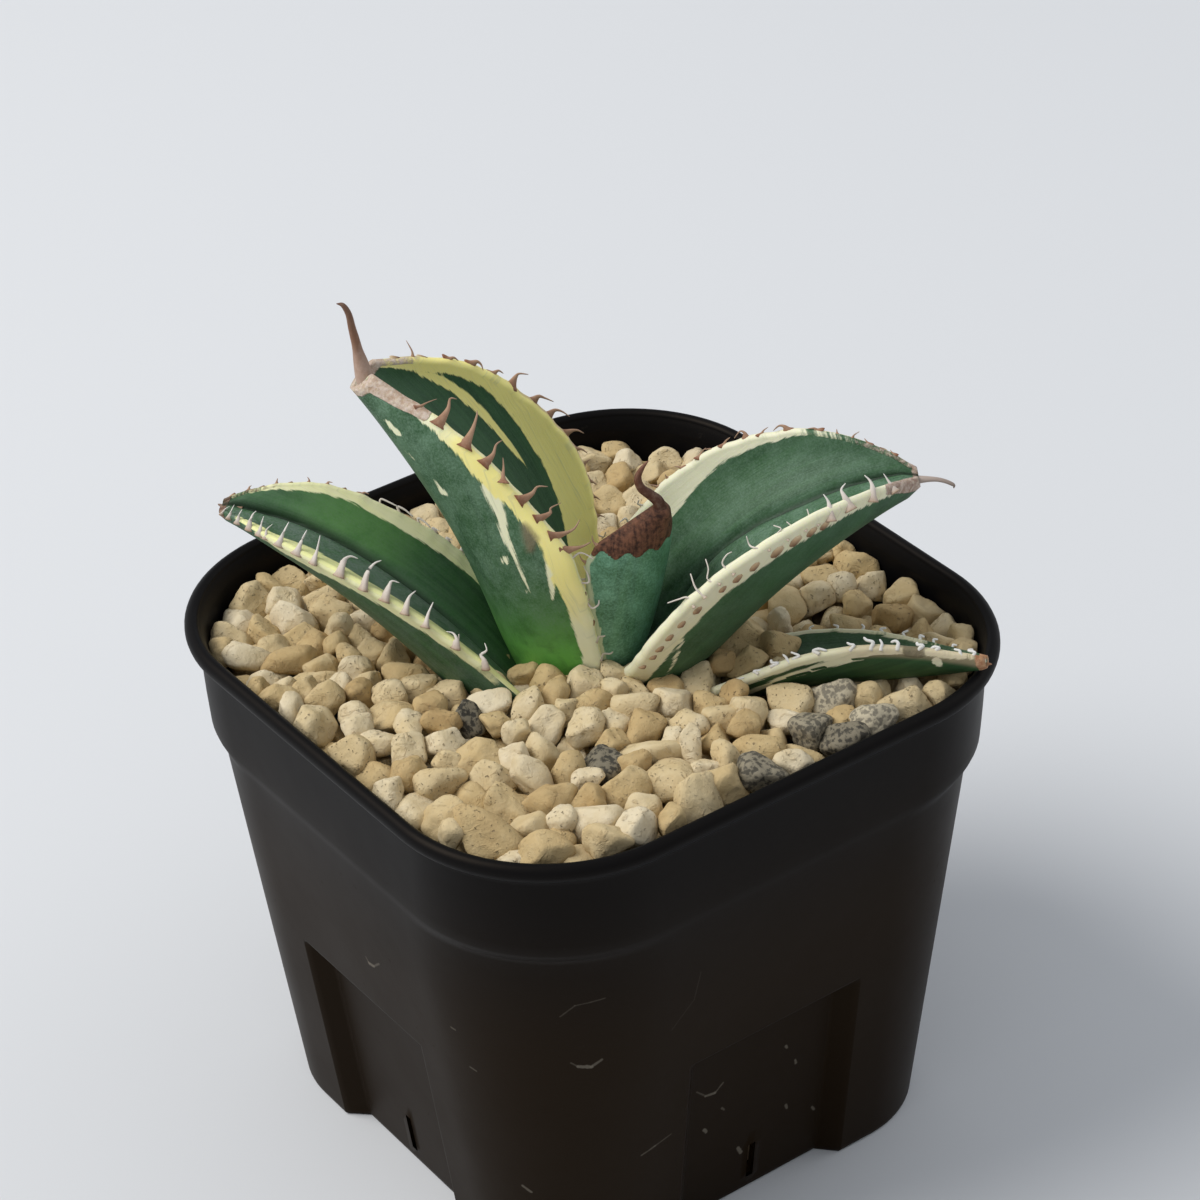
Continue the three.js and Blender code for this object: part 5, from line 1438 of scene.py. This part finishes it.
def random_turn(rng):
    """A rotation matrix, with all turns equally likely."""
    w, x, y, z = unit(rng.normal(size=4))
    return np.array([
        [1 - 2 * (y * y + z * z), 2 * (x * y - z * w), 2 * (x * z + y * w)],
        [2 * (x * y + z * w), 1 - 2 * (x * x + z * z), 2 * (y * z - x * w)],
        [2 * (x * z - y * w), 2 * (y * z + x * w), 1 - 2 * (x * x + y * y)],
    ])


def build_gravel(materials):
    """The top dressing: the stones of the photograph among loose ones, in a few pieces."""
    rng = np.random.default_rng(RANDOM_SEED)
    count = len(NAMED_STONES)
    named = np.arange(count + LOOSE_PEBBLES) < count
    radii = [NAMED_SPACING * (a * b * b) ** (1 / 3) for _, _, a, b, *_ in NAMED_STONES]
    radii = np.concatenate([radii, rng.uniform(*LOOSE_RADII, LOOSE_PEBBLES)])
    centres = rng.uniform([-46, -46, MIX_TOP], [46, 46, 89], (len(radii), 3))
    centres[:count, :2] = [place[:2] for place in NAMED_STONES]
    centres[:count, 2] = gravel_top(centres[:count, :2]) - radii[:count] + 0.4
    centres = settle(centres, radii, named)

    groups = {"pumice_high": [], "pumice_low": [], "speckled": []}
    for i, centre in enumerate(centres):
        stretch = rng.uniform(0.8, 1.25, 3)
        stretch = radii[i] * LOOSE_SCALE * stretch / np.prod(stretch) ** (1 / 3)
        turn = random_turn(rng)
        tone, seed = rng.beta(2.2, 1.8), rng.uniform(0, 1)
        high = centre[2] > VISIBLE_ABOVE
        kind = "speckled" if rng.random() < SPECKLED_SHARE else "pumice"
        if named[i]:
            _, _, half_length, half_width, tilt, tone, *speckled = NAMED_STONES[i]
            kind = "speckled" if speckled else "pumice"
            stretch = np.array([half_length, half_width, 0.95 * half_width]) * NAMED_SCALE
            turn = camera_rows().T @ np.array(Matrix.Rotation(math.radians(tilt), 3, "Z"))
        points, faces = stone(rng, stretch, 4 if high else 3)
        points = points @ turn.T + centre
        points[:, :2] = keep_inside(points[:, :2], WALL_INSIDE, CORNER_INSIDE, 0.05)
        group = kind if kind == "speckled" else ("pumice_high" if high else "pumice_low")
        groups[group].append((points, faces, np.tile([tone, seed], (len(points), 1))))

    replaced = "pumice_gravel"
    for group, stones in groups.items():
        pieces = math.ceil(len(stones) / MOST_STONES)
        for number in range(pieces):
            points, faces, numbers = gather(stones[number::pieces])
            material = materials["speckled" if group == "speckled" else "pumice"]
            piece = add_piece(f"pebbles_{group}_{number + 1}", points, faces, material, replaced)
            add_numbers(piece, "tone", numbers[:, 0])
            add_numbers(piece, "seed", numbers[:, 1])
            replaced = None


# Camera, light and floor. The lens is in mm; the photograph is 1200 pixels wide.

LIGHTS_AIM = (0, 0, 0.08)
FLOOR_REACH = 3.0
CAMERA_AZIMUTH = -35.008
CAMERA_ELEVATION = 34.229
CAMERA_DISTANCE = 586.085
CAMERA_ROLL = 2.332
CAMERA_PAN = 0.187
CAMERA_TILT = -0.25
SENSOR = 36
LENS = 3819.03 / 1200 * SENSOR


def camera_rows():
    """The camera's level right, its up and its back direction, before the small corrections."""
    az, el = math.radians(CAMERA_AZIMUTH), math.radians(CAMERA_ELEVATION)
    back = np.array([math.sin(az) * math.cos(el), -math.cos(az) * math.cos(el), math.sin(el)])
    right = unit(np.cross([0, 0, 1], back))
    return np.array([right, np.cross(back, right), back])


def add_camera():
    """The photograph's view."""

    def turn(axis, degrees):
        return np.array(Matrix.Rotation(math.radians(degrees), 3, axis))

    level = camera_rows()
    rows = turn("Z", CAMERA_ROLL) @ turn("X", CAMERA_TILT) @ turn("Y", CAMERA_PAN) @ level
    place = level[2] * CAMERA_DISTANCE + np.array([0, 0, POT_HEIGHT])
    data = bpy.data.cameras.new("camera")
    data.lens = LENS
    data.sensor_width = SENSOR
    data.clip_start = 0.01
    data.clip_end = 20
    camera = add_object("camera", data)
    matrix = Matrix(rows.T.tolist()).to_4x4()
    matrix.translation = Vector(place * MM)
    camera.matrix_world = matrix
    bpy.context.scene.camera = camera


def add_light(name, place, size, power, colour):
    """A round soft light that shines on the pot."""
    data = bpy.data.lights.new(name, "AREA")
    data.shape = "DISK"
    data.size = size
    data.energy = power
    data.color = colour
    light = add_object(name, data)
    light.location = place
    light.rotation_mode = "QUATERNION"
    light.rotation_quaternion = (Vector(LIGHTS_AIM) - Vector(place)).to_track_quat("-Z", "Y")


def add_surroundings():
    """A pale floor, soft daylight from all round and two lights."""
    s = Shader("pale_floor")
    mesh = bpy.data.meshes.new("floor")
    corners = [(x * FLOOR_REACH, y * FLOOR_REACH, 0) for x, y in ((-1, -1), (1, -1), (1, 1), (-1, 1))]
    mesh.from_pydata(corners, [], [(0, 1, 2, 3)])
    mesh.materials.append(s.set(Base_Color=(0.655, 0.665, 0.68), Roughness=0.9, Specular_IOR_Level=0.1))
    floor = add_object("floor", mesh)

    world = bpy.data.worlds.new("soft_daylight")
    bpy.context.scene.world = world
    world.use_nodes = True
    background = world.node_tree.nodes["Background"]
    background.inputs["Color"].default_value = (0.9, 0.94, 1.0, 1)
    background.inputs["Strength"].default_value = 0.55
    add_light("window", (-1.2, 0.7, 1.7), 1.4, 40, (1.0, 0.985, 0.96))
    add_light("room", (0.9, -0.3, 0.7), 0.9, 1.5, (0.92, 0.96, 1.0))
    bpy.context.scene.view_settings.view_transform = "Standard"


# Colours and the build

# The skin of each leaf: the green below the wax, the wax, fresh green, the margin's cream and
# yellow, the bright base (on the low left leaf, painted light on the lit far half), and the horny edge from
# dark to pale
LEAF_COLOURS = {
    "leaf_left_tall": dict(
        deep=(0.022, 0.07, 0.027), bloom=(0.135, 0.235, 0.15), fresh=(0.034, 0.1, 0.036),
        cream=(0.84, 0.84, 0.58), yellow=(0.93, 0.83, 0.29), base_glow=(0.14, 0.43, 0.07),
        horn=((0.42, 0.29, 0.2), (0.62, 0.52, 0.43)),
    ),
    "leaf_left_low": dict(
        deep=(0.022, 0.075, 0.025), bloom=(0.115, 0.165, 0.125), fresh=(0.042, 0.12, 0.04),
        cream=(0.76, 0.74, 0.48), yellow=(0.76, 0.77, 0.34), base_glow=(0.085, 0.23, 0.045),
        horn=((0.1, 0.045, 0.03), (0.3, 0.2, 0.14)),
    ),
    "leaf_right_tall": dict(
        deep=(0.026, 0.075, 0.03), bloom=(0.12, 0.205, 0.135), fresh=(0.04, 0.11, 0.042),
        cream=(0.78, 0.76, 0.56), yellow=(0.76, 0.72, 0.4), base_glow=(0.04, 0.125, 0.03),
        horn=((0.3, 0.2, 0.15), (0.56, 0.46, 0.38)),
    ),
    "leaf_right_low": dict(
        deep=(0.018, 0.055, 0.018), bloom=(0.09, 0.145, 0.09), fresh=(0.034, 0.09, 0.028),
        cream=(0.72, 0.69, 0.48), yellow=(0.7, 0.63, 0.36), base_glow=(0.045, 0.14, 0.035),
        horn=((0.3, 0.13, 0.06), (0.5, 0.3, 0.17)),
    ),
    "leaf_centre": dict(
        deep=(0.055, 0.15, 0.08), bloom=(0.19, 0.4, 0.27), fresh=(0.07, 0.19, 0.085),
        cream=(0.5, 0.56, 0.36), yellow=(0.6, 0.58, 0.33), base_glow=(0.05, 0.15, 0.035),
        horn=((0.028, 0.01, 0.006), (0.17, 0.072, 0.038)),
    ),
}

# Teeth by kind and spines by leaf: the material's name and its colours at the root, in the middle
# and at the tip
HORN_COLOURS = {
    "horn": ("brown_horn", (0.19, 0.065, 0.028), (0.36, 0.215, 0.135), (0.34, 0.22, 0.15)),
    "pale": ("lilac_grey_horn", (0.33, 0.22, 0.14), (0.6, 0.54, 0.48), (0.76, 0.73, 0.69)),
    "thread": ("pale_fibre", (0.45, 0.34, 0.25), (0.66, 0.6, 0.52), (0.66, 0.6, 0.54)),
    "fibre": ("white_fibre", (0.66, 0.62, 0.54), (0.76, 0.75, 0.72), (0.8, 0.79, 0.76)),
    "bump": ("brown_margin_scar", (0.6, 0.5, 0.33), (0.47, 0.33, 0.19), (0.15, 0.07, 0.035)),
    "leaf_left_tall": ("grey_brown_spine", (0.55, 0.42, 0.34), (0.22, 0.11, 0.065), (0.11, 0.055, 0.035)),
    "leaf_right_tall": ("thin_grey_spine", (0.5, 0.42, 0.36), (0.36, 0.29, 0.25), (0.16, 0.13, 0.11)),
    "leaf_left_low": ("short_spine", (0.3, 0.18, 0.12), (0.32, 0.22, 0.18), (0.2, 0.13, 0.1)),
    "leaf_right_low": ("orange_brown_spine", (0.36, 0.18, 0.08), (0.34, 0.16, 0.07), (0.3, 0.15, 0.08)),
    "leaf_centre": ("dark_spine", (0.05, 0.018, 0.01), (0.08, 0.028, 0.015), (0.17, 0.065, 0.036)),
}


def dress(node, material):
    """A new material on one of the frame's own solids."""
    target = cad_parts[node]
    target.data.materials.clear()
    target.data.materials.append(material)


black = pot_material()
build_pot(black)
build_floor(black)
dress("potting_mix", mix_material())
dress("stem_and_roots", stem_material())

horns = {key: horn_material(*colours) for key, colours in HORN_COLOURS.items()}
for name, leaf in LEAVES.items():
    build_blade(name, leaf, leaf_material(name.replace("leaf", "skin"), **LEAF_COLOURS[name]))
    build_teeth(name, leaf, horns)
    build_spine(name, leaf, horns[name])

build_gravel({"pumice": pumice_material(), "speckled": speckled_stone_material()})
add_surroundings()
add_camera()
